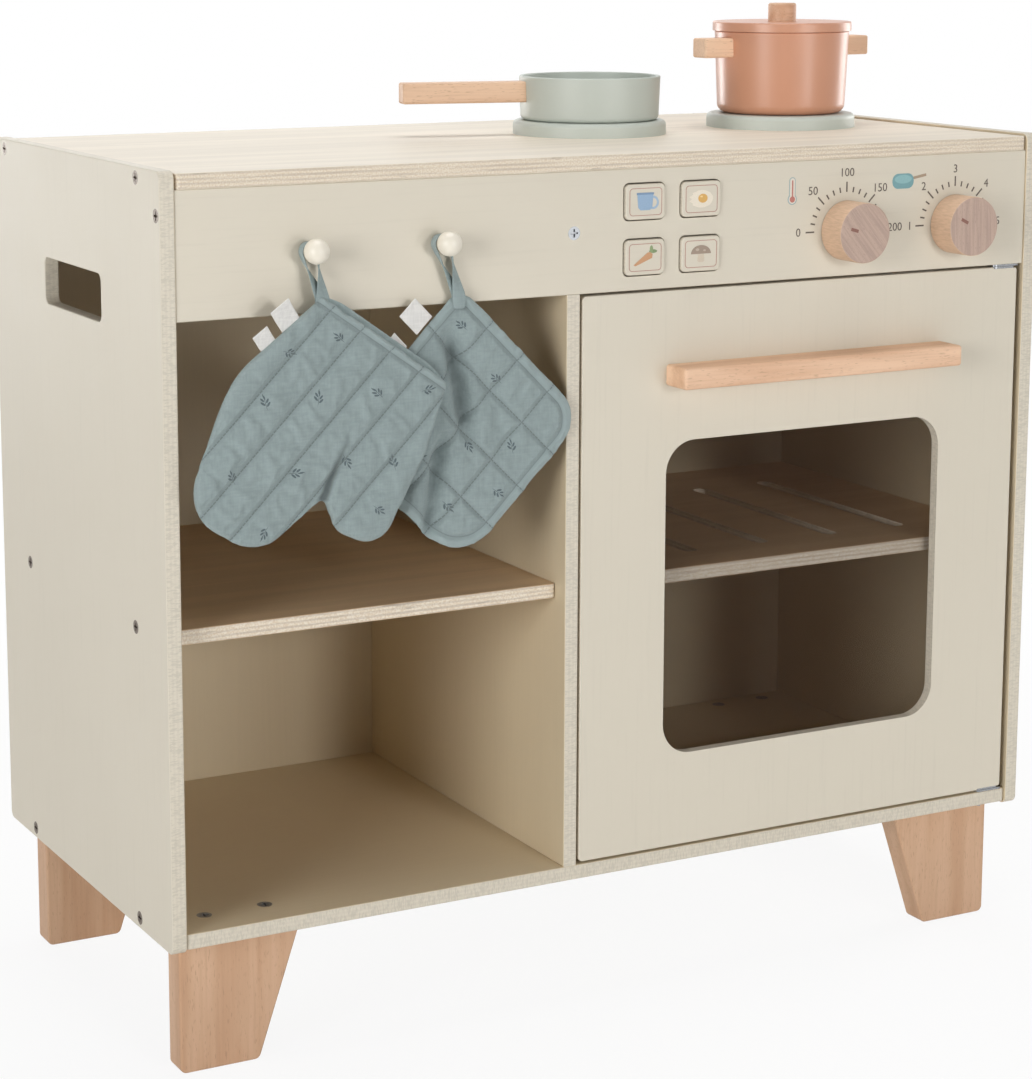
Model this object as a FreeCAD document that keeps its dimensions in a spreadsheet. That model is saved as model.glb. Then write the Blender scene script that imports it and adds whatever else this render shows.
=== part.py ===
"""A wooden play kitchen: cabinet, oven door, dials, buttons, pan, pot, mitt and pot holder.

Pieces of the cabinet are drawn from two planes: Y = 0 is the front of the side panels and
Z = 0 is their lower edge. Each finished piece is then moved so that the floor is Z = 0 and
the middle of the whole depth is Y = 0. X = 0 is the middle of the cabinet.
"""
import FreeCAD
import Part
import Sketcher

import math
import os
import re

SIZES = {
    # cabinet boards
    "cabinet_width": 600,
    "cabinet_depth": 283,
    "side_height": 444,
    "floor_gap": 79.5,
    "board": 9,
    "panel_corner": 5,
    "board_corner": 2.5,
    "board_edge": 0.8,
    "front_recess": 1,
    "left_bay": 245.5,
    "bottom_rise": 2,
    "back_board": 6,
    "back_inset": 9.5,
    # carry slots in the side panels
    "slot_length": 96,
    "slot_height": 28,
    "slot_corner": 5,
    "slot_drop": 80,
    # worktop and fascia
    "worktop_drop": 1.5,
    "worktop_gap": 1,
    "worktop_recess": 0.3,
    "fascia_height": 72.5,
    # length of the fascia over the oven for which the places of buttons and dials are given
    "control_span": 327.5,
    # shelves
    "shelf_rise": 165.5,
    "shelf_gap": 2.5,
    "rack_slot_width": 10,
    "rack_slot_flat": 0.1,
    "rack_slot_pitch": 53.5,
    "rack_slot_front": 34.5,
    "rack_slot_back": 56.5,
    # legs
    "leg_top": 77,
    "leg_foot": 49.5,
    "leg_thickness": 18,
    "leg_gap": 1.8,
    "leg_setback": 17.7,
    "leg_corner": 4,
    "leg_edge": 1.5,
    "leg_bolt_pitch": 38,
    # burners
    "burner_diameter": 98.6,
    "burner_height": 9,
    "burner_edge": 3,
    "burner_pitch": 148,
    "burner_inset": 86,
    "burner_setback": 152,
    "burner_screw_pitch": 40,
    # pegs
    "peg_shift": 3,
    "peg_pitch": 82.5,
    "peg_ball": 14.4,
    "peg_stem": 7,
    "peg_stem_length": 6.3,
    "peg_tenon": 6,
    "peg_tenon_length": 7,
    # push buttons
    "button_width": 27,
    "button_height": 21,
    "button_corner": 3,
    "button_edge": 0.8,
    "button_gap": 0.9,
    "button_proud": 2,
    "button_column_gap": 12,
    "button_row_gap": 12,
    "button_offset": 43,
    "button_lap": 3,
    "button_flange": 2,
    "housing_wall": 2,
    "foam_depth": 6,
    # dials
    "dial_diameter": 37,
    "dial_depth": 20,
    "dial_edge": 0.8,
    "dial_gap": 0.4,
    "dial_inset": 55.6,
    "dial_pitch": 83,
    "dial_drop": 8,
    "spindle_diameter": 8,
    "spindle_seat": 14,
    "spindle_head": 16,
    "spindle_head_depth": 3,
    # oven door
    "door_gap_left": 1.6,
    "door_gap_right": 4,
    "door_gap_top": 1.5,
    "door_gap_bottom": 1.5,
    "door_corner": 3,
    "window_side": 59,
    "window_foot": 58.5,
    "window_head": 92,
    "window_corner": 20,
    "pane_thickness": 2.5,
    "pane_lap": 8,
    "pane_gap": 0.3,
    "handle_inset": 58.5,
    "handle_height": 13,
    "handle_depth": 21.5,
    "handle_edge": 2,
    "handle_drop": 51,
    "handle_screw_inset": 27.5,
    # pivot hinges and magnet stop
    "pivot_inset": 4.5,
    "pin_diameter": 3,
    "pin_length": 5.7,
    "leaf_thickness": 1.2,
    "leaf_gap": 0.2,
    "leaf_arm": 14,
    "leaf_heel": 3.5,
    "leaf_setback": 0.3,
    "leaf_screw_offset": 9,
    "stop_width": 16.5,
    "stop_depth": 20,
    "stop_height": 25,
    "stop_drop": 25,
    "magnet_diameter": 8,
    "magnet_depth": 4,
    "strike_diameter": 9,
    "strike_thickness": 1,
    "strike_shank": 2.5,
    "strike_shank_length": 6,
    # fasteners
    "panel_screw_diameter": 3.5,
    "panel_screw_bite": 23,
    "panel_screw_head": 8,
    "short_screw_diameter": 3.5,
    "short_screw_bite": 6,
    "short_screw_head": 7,
    "small_screw_diameter": 2.5,
    "small_screw_length": 12,
    "small_screw_head": 5,
    "pane_screw_diameter": 2,
    "pane_screw_bite": 4,
    "pane_screw_head": 4,
    "leg_bolt_diameter": 5,
    "leg_bolt_bite": 31,
    "leg_bolt_head": 9,
    "dowel_diameter": 6,
    "dowel_length": 24,
    "dowel_cover": 3,
    "dowel_pitch": 150,
    "worktop_screw_front": 35,
    "worktop_screw_back": 23,
    "shelf_screw_front": 48,
    "shelf_screw_back": 36.5,
    "bottom_screw_front": 51,
    "bottom_screw_back": 33.5,
    "fascia_screw_drop": 14,
    "back_screw_pitch": 160,
    # frying pan
    "pan_foot": 88.8,
    "pan_rim": 91,
    "pan_height": 28,
    "pan_wall": 2.6,
    "pan_base": 4,
    "pan_foot_round": 3,
    "pan_inner_round": 3,
    "pan_handle_length": 80,
    "pan_handle_height": 13.3,
    "pan_handle_width": 13,
    "pan_handle_drop": 9.7,
    # cooking pot and lid
    "pot_foot": 84.4,
    "pot_rim": 89.2,
    "pot_height": 54,
    "pot_wall": 3,
    "pot_base": 5,
    "pot_foot_round": 6,
    "pot_inner_round": 5,
    "pot_handle_length": 20.5,
    "pot_handle_height": 12.7,
    "pot_handle_width": 16,
    "pot_handle_drop": 10.4,
    "grip_edge": 1.5,
    "rim_round": 0.8,
    "wall_screw_sink": 0.8,
    "lid_overhang": 1.4,
    "lid_thickness": 6,
    "lid_edge": 1,
    "lid_lip": 3,
    "lid_fit": 0.8,
    "lid_knob_diameter": 18.5,
    "lid_knob_height": 12,
    "lid_tenon": 8,
    "lid_tenon_length": 4,
    # mitt and pot holder
    "holder_gap": 0.6,
    "holder_thickness": 6,
    "holder_side": 117,
    "holder_hang": 25.8,
    "holder_shift": 12,
    "holder_cell": 28.5,
    "holder_round_top": 12,
    "holder_round_right": 22,
    "holder_round_bottom": 30,
    "holder_round_left": 25,
    "mitt_gap": 0.8,
    "mitt_thickness": 9,
    "mitt_length": 171,
    "mitt_channel_pitch": 22,
    "mitt_channel_first": 29,
    "channel_radius": 2.2,
    "channel_depth": 0.9,
    "crown_reach": 9,
    "soft_corner_least": 0.6,
    "tape_width": 5,
    "tape_thickness": 1.2,
    "tape_inset": 0.6,
    "loop_slack": 1,
    "loop_seat": 6,
    # clearances
    "running_fit": 0.05,
    "screw_fit": 0.05,
    "body_gap": 0.3,
    "rest_gap": 0.2,
}
RACK_SLOTS = 5
MITT_CHANNELS = 5
PAN_TURN_DEGREES = 12
TOUCH = 1e-5

doc = FreeCAD.newDocument("PlayKitchen")
sheet = doc.addObject("Spreadsheet::Sheet", "Sizes")
for row, (name, size) in enumerate(SIZES.items(), start=1):
    sheet.set(f"A{row}", name)
    sheet.set(f"B{row}", str(size))
    sheet.setAlias(f"B{row}", name)
doc.recompute()

Vector = FreeCAD.Vector
NODES = []


# formulas in size names

def bound(formula):
    """The formula with each size name turned into its sheet cell."""
    return re.sub(r"[a-z_]+", lambda word: f"Sizes.{word.group()}", str(formula))


def value(formula):
    return float(sheet.evalExpression(bound(formula)))


def point(*formulas):
    return Vector(*(value(formula) for formula in formulas))


def bind(item, **formulas):
    for name, formula in formulas.items():
        item.setExpression(name, bound(formula))


def bind_point(item, path, formulas):
    for axis, formula in zip("xyz", formulas):
        item.setExpression(f"{path}.Base.{axis}", bound(formula))


# planes and lines of the cabinet, as formulas

THROUGH = "(3 * board)"
INNER = "(cabinet_width / 2 - board)"
HANDLE_REACH = "(handle_depth - front_recess)"
FRONT = f"({HANDLE_REACH} - cabinet_depth) / 2"
FASCIA_BACK = "(front_recess + board)"
BACK_FACE = "(cabinet_depth - back_inset - back_board)"
BOTTOM_TOP = "(bottom_rise + board)"
WORKTOP_TOP = "(side_height - worktop_drop)"
WORKTOP_UNDER = f"({WORKTOP_TOP} - board)"
FASCIA_FOOT = f"({WORKTOP_UNDER} - fascia_height)"
FASCIA_MIDDLE = f"({WORKTOP_UNDER} - fascia_height / 2)"
DIVIDER_LEFT = f"(left_bay - {INNER})"
DIVIDER_RIGHT = f"({DIVIDER_LEFT} + board)"
DIVIDER_MIDDLE = f"({DIVIDER_LEFT} + board / 2)"
SHELF_UNDER = f"({BOTTOM_TOP} + shelf_rise)"
SHELF_MIDDLE = f"({SHELF_UNDER} + board / 2)"
SHELF_FRONT = f"({FASCIA_BACK} + shelf_gap)"
SHELF_DEPTH = f"({BACK_FACE} - {SHELF_FRONT})"
DOOR_LEFT = f"({DIVIDER_RIGHT} + door_gap_left)"
DOOR_RIGHT = f"({INNER} - door_gap_right)"
DOOR_FOOT = f"({BOTTOM_TOP} + door_gap_bottom)"
DOOR_TOP = f"({FASCIA_FOOT} - door_gap_top)"
DOOR_MIDDLE = f"(({DOOR_LEFT} + {DOOR_RIGHT}) / 2)"
DOOR_WIDTH = f"({DOOR_RIGHT} - {DOOR_LEFT})"
DOOR_HEIGHT = f"({DOOR_TOP} - {DOOR_FOOT})"
DOOR_BACK = FASCIA_BACK
PIVOT_X = f"({DOOR_RIGHT} - pivot_inset)"
PIVOT_Y = "(front_recess + board / 2)"
WINDOW_WIDTH = f"({DOOR_WIDTH} - 2 * window_side)"
WINDOW_HEIGHT = f"({DOOR_HEIGHT} - window_foot - window_head)"
WINDOW_MIDDLE = f"({DOOR_FOOT} + window_foot + {WINDOW_HEIGHT} / 2)"
HANDLE_LENGTH = f"({DOOR_WIDTH} - 2 * handle_inset)"
HANDLE_MIDDLE = f"({DOOR_TOP} - handle_drop)"
CONTROL_SPREAD = f"(({INNER} - {DIVIDER_RIGHT}) / control_span)"
DIAL_Z = f"({FASCIA_MIDDLE} - dial_drop)"
DIALS = {
    "hob_dial": f"({INNER} - dial_inset * {CONTROL_SPREAD})",
    "oven_dial": f"({INNER} - (dial_inset + dial_pitch) * {CONTROL_SPREAD})",
}
BUTTON_COLUMN_PITCH = "(button_width + button_column_gap)"
BUTTON_ROW_PITCH = "(button_height + button_row_gap)"
BUTTON_COLUMNS = {
    "left": f"({DIVIDER_RIGHT} + button_offset * {CONTROL_SPREAD})",
    "right": f"({DIVIDER_RIGHT} + button_offset * {CONTROL_SPREAD} + {BUTTON_COLUMN_PITCH})",
}
BUTTON_ROWS = {
    "upper": f"({FASCIA_MIDDLE} + {BUTTON_ROW_PITCH} / 2)",
    "lower": f"({FASCIA_MIDDLE} - {BUTTON_ROW_PITCH} / 2)",
}
PEGS_MIDDLE = f"(left_bay / 2 - {INNER} - peg_shift)"
PEGS = {
    "left": f"({PEGS_MIDDLE} - peg_pitch / 2)",
    "right": f"({PEGS_MIDDLE} + peg_pitch / 2)",
}
PEG_REACH = "(peg_stem_length + peg_ball / 2)"
BURNERS = {
    "right": f"({INNER} - burner_inset)",
    "left": f"({INNER} - burner_inset - burner_pitch)",
}
BURNER_TOP = f"({WORKTOP_TOP} + burner_height)"
LEG_OUTER = f"({INNER} - leg_gap)"
LEG_ROWS = {
    "front": "(leg_setback + leg_thickness / 2)",
    "back": "(cabinet_depth - leg_setback - leg_thickness / 2)",
}


# building blocks

def new_body(label):
    body = doc.addObject("PartDesign::Body", label)
    body.Label = label
    return body


def sketch_on(body, role, centre):
    """An empty sketch on an origin plane, moved by formulas across, up and out of it."""
    sketch = body.newObject("Sketcher::SketchObject", f"{body.Name}_sketch")
    plane = next(item for item in body.Origin.OriginFeatures if item.Role == role)
    sketch.AttachmentSupport = [(plane, "")]
    sketch.MapMode = "FlatFace"
    bind_point(sketch, "AttachmentOffset", centre)
    return sketch


def dimension(sketch, formula, kind, *places):
    number = sketch.addConstraint(Sketcher.Constraint(kind, *places, value(formula)))
    sketch.setExpression(f"Constraints[{number}]", bound(formula))


def closed_lines(sketch, corners):
    count = len(corners)
    for i in range(count):
        sketch.addGeometry(Part.LineSegment(corners[i], corners[(i + 1) % count]))
    for i in range(count):
        sketch.addConstraint(Sketcher.Constraint("Coincident", i, 2, (i + 1) % count, 1))


def rectangle(sketch, width, height):
    half = Vector(value(width) / 2, value(height) / 2)
    signs = ((-1, -1), (1, -1), (1, 1), (-1, 1))
    closed_lines(sketch, [Vector(half.x * across, half.y * up) for across, up in signs])
    for i, kind in enumerate(("Horizontal", "Vertical", "Horizontal", "Vertical")):
        sketch.addConstraint(Sketcher.Constraint(kind, i))
    sketch.addConstraint(Sketcher.Constraint("Symmetric", 0, 1, 1, 2, -1, 1))
    dimension(sketch, width, "DistanceX", 0, 1, 0, 2)
    dimension(sketch, height, "DistanceY", 1, 1, 1, 2)


def circle(sketch, diameter):
    sketch.addGeometry(Part.Circle(Vector(), Vector(0, 0, 1), value(diameter) / 2))
    sketch.addConstraint(Sketcher.Constraint("Coincident", 0, 3, -1, 1))
    dimension(sketch, diameter, "Diameter", 0)


def pad(body, sketch, length):
    feature = body.newObject("PartDesign::Pad", f"{body.Name}_pad")
    feature.Profile = sketch
    bind(feature, Length=length)


def pocket_through(body, sketch):
    doc.recompute()
    before = body.Shape.Volume
    feature = body.newObject("PartDesign::Pocket", f"{body.Name}_pocket")
    feature.Profile = sketch
    feature.Type = "ThroughAll"
    feature.Midplane = True
    doc.recompute()
    if not body.Shape.Volume < before:
        raise RuntimeError(f"{body.Label}: a pocket cuts nothing")


def round_edges(body, radius, wanted):
    """Fillet the edges of the body so far that pass the test."""
    doc.recompute()
    base = body.Tip
    names = [f"Edge{i}" for i, edge in enumerate(base.Shape.Edges, start=1) if wanted(edge)]
    feature = body.newObject("PartDesign::Fillet", f"{body.Name}_fillet")
    feature.Base = (base, names)
    bind(feature, Radius=radius)
    doc.recompute()


def near(first, second):
    return abs(first - second) < TOUCH


def limits(box, axis):
    return getattr(box, f"{axis}Min"), getattr(box, f"{axis}Max")


def straight_along(axis):
    """Test for straight edges parallel to an axis."""
    others = [name for name in "XYZ" if name != axis]

    def wanted(edge):
        flat = all(near(*limits(edge.BoundBox, name)) for name in others)
        return flat and edge.Curve.TypeId == "Part::GeomLine"

    return wanted


def in_planes(axis, *places):
    """Test for edges that lie at one of the given places of an axis."""

    def wanted(edge):
        low, high = limits(edge.BoundBox, axis)
        return near(low, high) and any(near(low, place) for place in places)

    return wanted


ROLE = {"X": "YZ_Plane", "Y": "XZ_Plane", "Z": "XY_Plane"}
TURN = {
    "X": lambda x, y, z: (y, z, x),
    "Y": lambda x, y, z: (x, z, f"-({y})"),
    "Z": lambda x, y, z: (x, y, z),
}


def slab(label, axis, start, size, corner=None, edge=None):
    """A board square to an axis: least corner and size as formulas, with rounded corners."""
    body = new_body(label)
    number = "XYZ".index(axis)
    thickness = size[number]
    middle = [f"({low}) + ({length}) / 2" for low, length in zip(start, size)]
    middle[number] = f"({start[number]}) + ({thickness})" if axis == "Y" else start[number]
    across = [length for i, length in enumerate(size) if i != number]
    sketch = sketch_on(body, ROLE[axis], TURN[axis](*middle))
    rectangle(sketch, *across)
    pad(body, sketch, thickness)
    if corner:
        round_edges(body, corner, straight_along(axis))
    if edge:
        low = value(start[number])
        round_edges(body, edge, in_planes(axis, low, low + value(thickness)))
    return body


def disc(label, axis, centre, diameter, depth):
    """A round piece that runs from its centre point along +Z, or towards the front along -Y."""
    body = new_body(label)
    sketch = sketch_on(body, ROLE[axis], TURN[axis](*centre))
    circle(sketch, diameter)
    pad(body, sketch, depth)
    return body


def box(label, start, size):
    item = doc.addObject("Part::Box", label)
    bind(item, Length=size[0], Width=size[1], Height=size[2])
    bind_point(item, "Placement", start)
    return item


def cylinder(label, centre, diameter, length, direction=Vector(0, 0, 1)):
    item = doc.addObject("Part::Cylinder", label)
    item.Placement = FreeCAD.Placement(Vector(), FreeCAD.Rotation(Vector(0, 0, 1), direction))
    bind(item, Radius=f"({diameter}) / 2", Height=length)
    bind_point(item, "Placement", centre)
    return item


def fuse(label, *items):
    item = doc.addObject("Part::MultiFuse", label)
    item.Shapes = list(items)
    return item


def cut(label, base, *tools):
    item = doc.addObject("Part::Cut", label)
    item.Base = base
    item.Tool = tools[0]
    if len(tools) > 1:
        group = doc.addObject("Part::Compound", f"{label}_tools")
        group.Links = list(tools)
        item.Tool = group
    return item


def node(label, item, seat=("0", FRONT, "floor_gap")):
    """Finish a piece: its label names its file, and its placement seats it in the frame."""
    item.Label = label
    bind_point(item, "Placement", seat)
    NODES.append(item)
    return item


# fasteners

SCREW_LENGTHS = {
    "panel_screw": "(board + panel_screw_bite)",
    "short_screw": "(board + short_screw_bite)",
    "small_screw": "small_screw_length",
    "pane_screw": "(pane_thickness + pane_screw_bite)",
    "leg_bolt": "(board + leg_bolt_bite)",
}
# cross recess as shares of the head's diameter
RECESS_REACH, RECESS_ARM, RECESS_DEPTH = 0.62, 0.14, 0.16


def screw_blank(kind, fit):
    """A countersunk screw with its head face at Z = 0, driven along +Z, larger by a fit."""
    head_depth = f"({kind}_head - {kind}_diameter) / 2"
    length = f"{SCREW_LENGTHS[kind]} + {fit}"
    shank = cylinder(f"{kind}_shank", "000", f"{kind}_diameter + 2 * {fit}", length)
    head = doc.addObject("Part::Cone", f"{kind}_cone")
    bind(head, Radius1=f"{kind}_head / 2 + {fit}", Radius2=f"{kind}_diameter / 2 + {fit}", Height=head_depth)
    return fuse(f"{kind}_blank", shank, head)


def screw(kind):
    """The screw itself, with a cross recess in its head."""
    reach = f"({kind}_head * {RECESS_REACH})"
    arm = f"({kind}_head * {RECESS_ARM})"
    depth = f"({kind}_head * {RECESS_DEPTH})"
    bars = [
        box(f"{kind}_arm", (f"-{length} / 2", f"-{width} / 2", f"-{depth}"), (length, width, f"2 * {depth}"))
        for length, width in ((reach, arm), (arm, reach))
    ]
    return cut(f"{kind}_master", screw_blank(kind, "0"), fuse(f"{kind}_recess", *bars))


def copies(label, master, places):
    """One group of equal solids, each at a point and pointing along a direction."""
    doc.recompute()
    solids = []
    for where, direction in places:
        solid = master.Shape.copy()
        turn = FreeCAD.Rotation(Vector(0, 0, 1), direction)
        solid.Placement = FreeCAD.Placement(point(*where), turn)
        solids.append(solid)
    group = doc.addObject("Part::Feature", label)
    group.Shape = Part.makeCompound(solids)
    return group


TO_RIGHT, TO_LEFT = Vector(1, 0, 0), Vector(-1, 0, 0)
TO_BACK, TO_FRONT = Vector(0, 1, 0), Vector(0, -1, 0)
UP, DOWN = Vector(0, 0, 1), Vector(0, 0, -1)


def panel_screw_places():
    """Screws through each side panel into the boards between, and through the fascia."""
    heights = (
        ("worktop_screw_front", f"{WORKTOP_UNDER} + board / 2"),
        ("cabinet_depth - worktop_screw_back", f"{WORKTOP_UNDER} + board / 2"),
        ("front_recess + board / 2", f"{WORKTOP_UNDER} - fascia_screw_drop"),
        ("shelf_screw_front", SHELF_MIDDLE),
        (f"{BACK_FACE} - shelf_screw_back", SHELF_MIDDLE),
        ("bottom_screw_front", "bottom_rise + board / 2"),
        (f"{BACK_FACE} - bottom_screw_back", "bottom_rise + board / 2"),
    )
    places = [((DIVIDER_MIDDLE, "front_recess", FASCIA_MIDDLE), TO_BACK)]
    for y, z in heights:
        places.append((("-cabinet_width / 2", y, z), TO_RIGHT))
        places.append((("cabinet_width / 2", y, z), TO_LEFT))
    return places


def dowel_places():
    """Dowels through the divider into both shelves, and from its ends into the boards there."""
    middle = f"({SHELF_FRONT} + {SHELF_DEPTH} / 2)"
    seat = "(board - dowel_cover)"
    places = []
    for y in (f"{middle} - dowel_pitch / 2", f"{middle} + dowel_pitch / 2"):
        places.append(((f"{DIVIDER_MIDDLE} - dowel_length / 2", y, SHELF_MIDDLE), TO_RIGHT))
        places.append(((DIVIDER_MIDDLE, y, f"{WORKTOP_UNDER} + {seat}"), DOWN))
        places.append(((DIVIDER_MIDDLE, y, f"{BOTTOM_TOP} - {seat}"), UP))
    return places


def back_screw_places():
    """Screws through the back panel into the divider, the bottom and both shelves."""
    rear = f"({BACK_FACE} + back_board)"
    places = []
    for z in (f"{SHELF_MIDDLE} - back_screw_pitch / 2", f"{SHELF_MIDDLE} + back_screw_pitch / 2"):
        places.append(((DIVIDER_MIDDLE, rear, z), TO_FRONT))
    for x in (f"-{INNER} + left_bay / 2", f"({DIVIDER_RIGHT} + {INNER}) / 2"):
        for z in ("bottom_rise + board / 2", SHELF_MIDDLE):
            places.append(((x, rear, z), TO_FRONT))
    return places


def burner_screw_places():
    return [
        ((f"{x} + {side} * burner_screw_pitch / 2", "burner_setback", WORKTOP_UNDER), UP)
        for x in BURNERS.values()
        for side in (-1, 1)
    ]


def leg_bolt_places():
    return [
        ((f"{side} * ({LEG_OUTER} - leg_top / 2) + {step} * leg_bolt_pitch / 2", y, BOTTOM_TOP), DOWN)
        for side in (-1, 1)
        for y in LEG_ROWS.values()
        for step in (-1, 1)
    ]


def leaf_screw_places(door_side):
    x = f"({PIVOT_X} - leaf_screw_offset)"
    step = "leaf_thickness + leaf_gap" if door_side else "leaf_thickness"
    upper, lower = (DOWN, UP) if door_side else (UP, DOWN)
    return [
        ((x, PIVOT_Y, f"{FASCIA_FOOT} - ({step})"), upper),
        ((x, PIVOT_Y, f"{BOTTOM_TOP} + ({step})"), lower),
    ]


def handle_screw_places():
    reach = f"({HANDLE_LENGTH} / 2 - handle_screw_inset)"
    return [
        ((f"{DOOR_MIDDLE} + {side} * {reach}", DOOR_BACK, HANDLE_MIDDLE), TO_FRONT)
        for side in (-1, 1)
    ]


def pane_screw_places():
    """A screw at the middle of each edge of the pane, in the lap beside the window."""
    across = f"({WINDOW_WIDTH} + pane_lap) / 2"
    up = f"({WINDOW_HEIGHT} + pane_lap) / 2"
    return [
        ((f"{DOOR_MIDDLE} + {dx} * {across}", DOOR_BACK, f"{WINDOW_MIDDLE} + {dz} * {up}"), TO_FRONT)
        for dx, dz in ((-1, 0), (1, 0), (0, -1), (0, 1))
    ]


def fasten(label, kind, places, master=None):
    """A node of equal screws, and the tool that drills the holes for them."""
    node(label, copies(label, master or SCREWS[kind], places))
    return copies(f"{label}_drill", DRILLS[kind], places)


SCREW_KINDS = ("panel_screw", "short_screw", "small_screw", "pane_screw", "leg_bolt")
SCREWS = {kind: screw(kind) for kind in SCREW_KINDS}
DRILLS = {kind: screw_blank(kind, "screw_fit") for kind in SCREW_KINDS}
DRILLS["dowel"] = cylinder("dowel_bore", "000", "dowel_diameter + 2 * screw_fit", "dowel_length")
DOWEL = cylinder("dowel_master", "000", "dowel_diameter", "dowel_length")

panel_drill = fasten("panel_screws", "panel_screw", panel_screw_places())
dowel_drill = fasten("dowels", "dowel", dowel_places(), DOWEL)
back_drill = fasten("back_screws", "small_screw", back_screw_places())
burner_drill = fasten("burner_screws", "short_screw", burner_screw_places())
leg_drill = fasten("leg_bolts", "leg_bolt", leg_bolt_places())
fixed_leaf_drill = fasten("hinge_fixed_screws", "small_screw", leaf_screw_places(False))
door_leaf_drill = fasten("hinge_door_screws", "small_screw", leaf_screw_places(True))
handle_drill = fasten("handle_screws", "short_screw", handle_screw_places())
pane_drill = fasten("window_screws", "pane_screw", pane_screw_places())


# cabinet boards

def side_panel(label, left_face):
    panel = slab(f"{label}_board", "X", (left_face, "0", "0"), ("board", "cabinet_depth", "side_height"))
    round_edges(panel, "panel_corner", straight_along("X"))
    outer = [edge.CenterOfMass for edge in panel.Shape.Edges if straight_along("X")(edge)]
    middle = ("cabinet_depth / 2", "side_height - slot_drop", left_face)
    slot = sketch_on(panel, "YZ_Plane", middle)
    rectangle(slot, "slot_length", "slot_height")
    pocket_through(panel, slot)

    def slot_corners(edge):
        straight = straight_along("X")(edge)
        return straight and all(edge.CenterOfMass.distanceToPoint(place) > TOUCH for place in outer)

    round_edges(panel, "slot_corner", slot_corners)
    low = value(left_face)
    round_edges(panel, "board_edge", in_planes("X", low, low + value("board")))
    node(label, cut(label, panel, panel_drill))


def worktop():
    half = f"({INNER} - worktop_gap)"
    start = (f"-{half}", "worktop_recess", WORKTOP_UNDER)
    size = (f"2 * {half}", "cabinet_depth - worktop_recess", "board")
    board = slab("worktop_board", "Z", start, size, "board_corner", "board_edge")
    node("worktop", cut("worktop", board, panel_drill, dowel_drill, burner_drill))


def bottom_panel():
    start = (f"-{INNER}", "front_recess", "bottom_rise")
    size = (f"2 * {INNER}", f"{BACK_FACE} - front_recess", "board")
    board = slab("bottom_board", "Z", start, size, "board_corner", "board_edge")
    drills = (panel_drill, dowel_drill, back_drill, leg_drill, fixed_leaf_drill)
    node("bottom_panel", cut("bottom_panel", board, *drills))


def divider_panel():
    start = (DIVIDER_LEFT, "front_recess", BOTTOM_TOP)
    size = ("board", f"{BACK_FACE} - front_recess", f"{WORKTOP_UNDER} - {BOTTOM_TOP}")
    board = slab("divider_board", "X", start, size, edge="board_edge")
    notch = box("divider_notch", (f"{DIVIDER_LEFT} - board", "0", FASCIA_FOOT),
                (THROUGH, FASCIA_BACK, "fascia_height + board"))
    node("divider_panel", cut("divider_panel", board, notch, panel_drill, dowel_drill, back_drill))


def back_panel():
    start = (f"-{INNER}", BACK_FACE, "bottom_rise")
    size = (f"2 * {INNER}", "back_board", f"{WORKTOP_UNDER} - bottom_rise")
    board = slab("back_panel_board", "Y", start, size, edge="board_edge")
    node("back_panel", cut("back_panel", board, back_drill))


def button_block(label, x, z, margin, start, depth, edge=None):
    """A block the size of a push button plus a margin all round."""
    width = f"(button_width + 2 * ({margin}))"
    height = f"(button_height + 2 * ({margin}))"
    corner = f"button_corner + ({margin})"
    low = (f"{x} - {width} / 2", start, f"{z} - {height} / 2")
    return slab(label, "Y", low, (width, depth, height), corner, edge)


def control_fascia():
    start = (f"-{INNER}", "front_recess", FASCIA_FOOT)
    size = (f"2 * {INNER}", "board", "fascia_height")
    board = slab("fascia_board", "Y", start, size, edge="board_edge")
    holes = [
        button_block("fascia_hole", x, z, "button_gap", "0", THROUGH)
        for x in BUTTON_COLUMNS.values()
        for z in BUTTON_ROWS.values()
    ]
    for x in DIALS.values():
        bore = "spindle_diameter + 2 * running_fit"
        holes.append(cylinder("fascia_bore", (x, "0", DIAL_Z), bore, THROUGH, TO_BACK))
    for x in PEGS.values():
        bore = "peg_tenon + 2 * screw_fit"
        depth = "front_recess + peg_tenon_length + screw_fit"
        holes.append(cylinder("fascia_socket", (x, "0", FASCIA_MIDDLE), bore, depth, TO_BACK))
    node("control_fascia", cut("control_fascia", board, *holes, panel_drill, fixed_leaf_drill))


def open_shelf():
    start = (f"-{INNER}", SHELF_FRONT, SHELF_UNDER)
    size = ("left_bay", SHELF_DEPTH, "board")
    board = slab("open_shelf_board", "Z", start, size, "board_corner", "board_edge")
    node("open_shelf", cut("open_shelf", board, panel_drill, dowel_drill, back_drill))


def oven_shelf():
    """The oven shelf has a row of round-ended slots from front to back."""
    width = f"({INNER} - {DIVIDER_RIGHT})"
    start = (DIVIDER_RIGHT, SHELF_FRONT, SHELF_UNDER)
    size = (width, SHELF_DEPTH, "board")
    board = slab("oven_shelf_board", "Z", start, size, "board_corner", "board_edge")
    middle = f"({DIVIDER_RIGHT} + {width} / 2)"
    slot_size = ("rack_slot_width", f"{SHELF_DEPTH} - rack_slot_front - rack_slot_back", THROUGH)
    slots = []
    for i in range(RACK_SLOTS):
        x = f"({middle} + ({i} - ({RACK_SLOTS} - 1) / 2) * rack_slot_pitch)"
        low = (f"{x} - rack_slot_width / 2", f"{SHELF_FRONT} + rack_slot_front", f"{SHELF_UNDER} - board")
        slots.append(slab("rack_slot", "Z", low, slot_size, "rack_slot_width / 2 - rack_slot_flat"))
    node("oven_shelf", cut("oven_shelf", board, *slots, panel_drill, dowel_drill, back_drill))


side_panel("left_side_panel", "-cabinet_width / 2")
side_panel("right_side_panel", INNER)
worktop()
bottom_panel()
divider_panel()
back_panel()
control_fascia()
open_shelf()
oven_shelf()


# legs, burners and pegs

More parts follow.
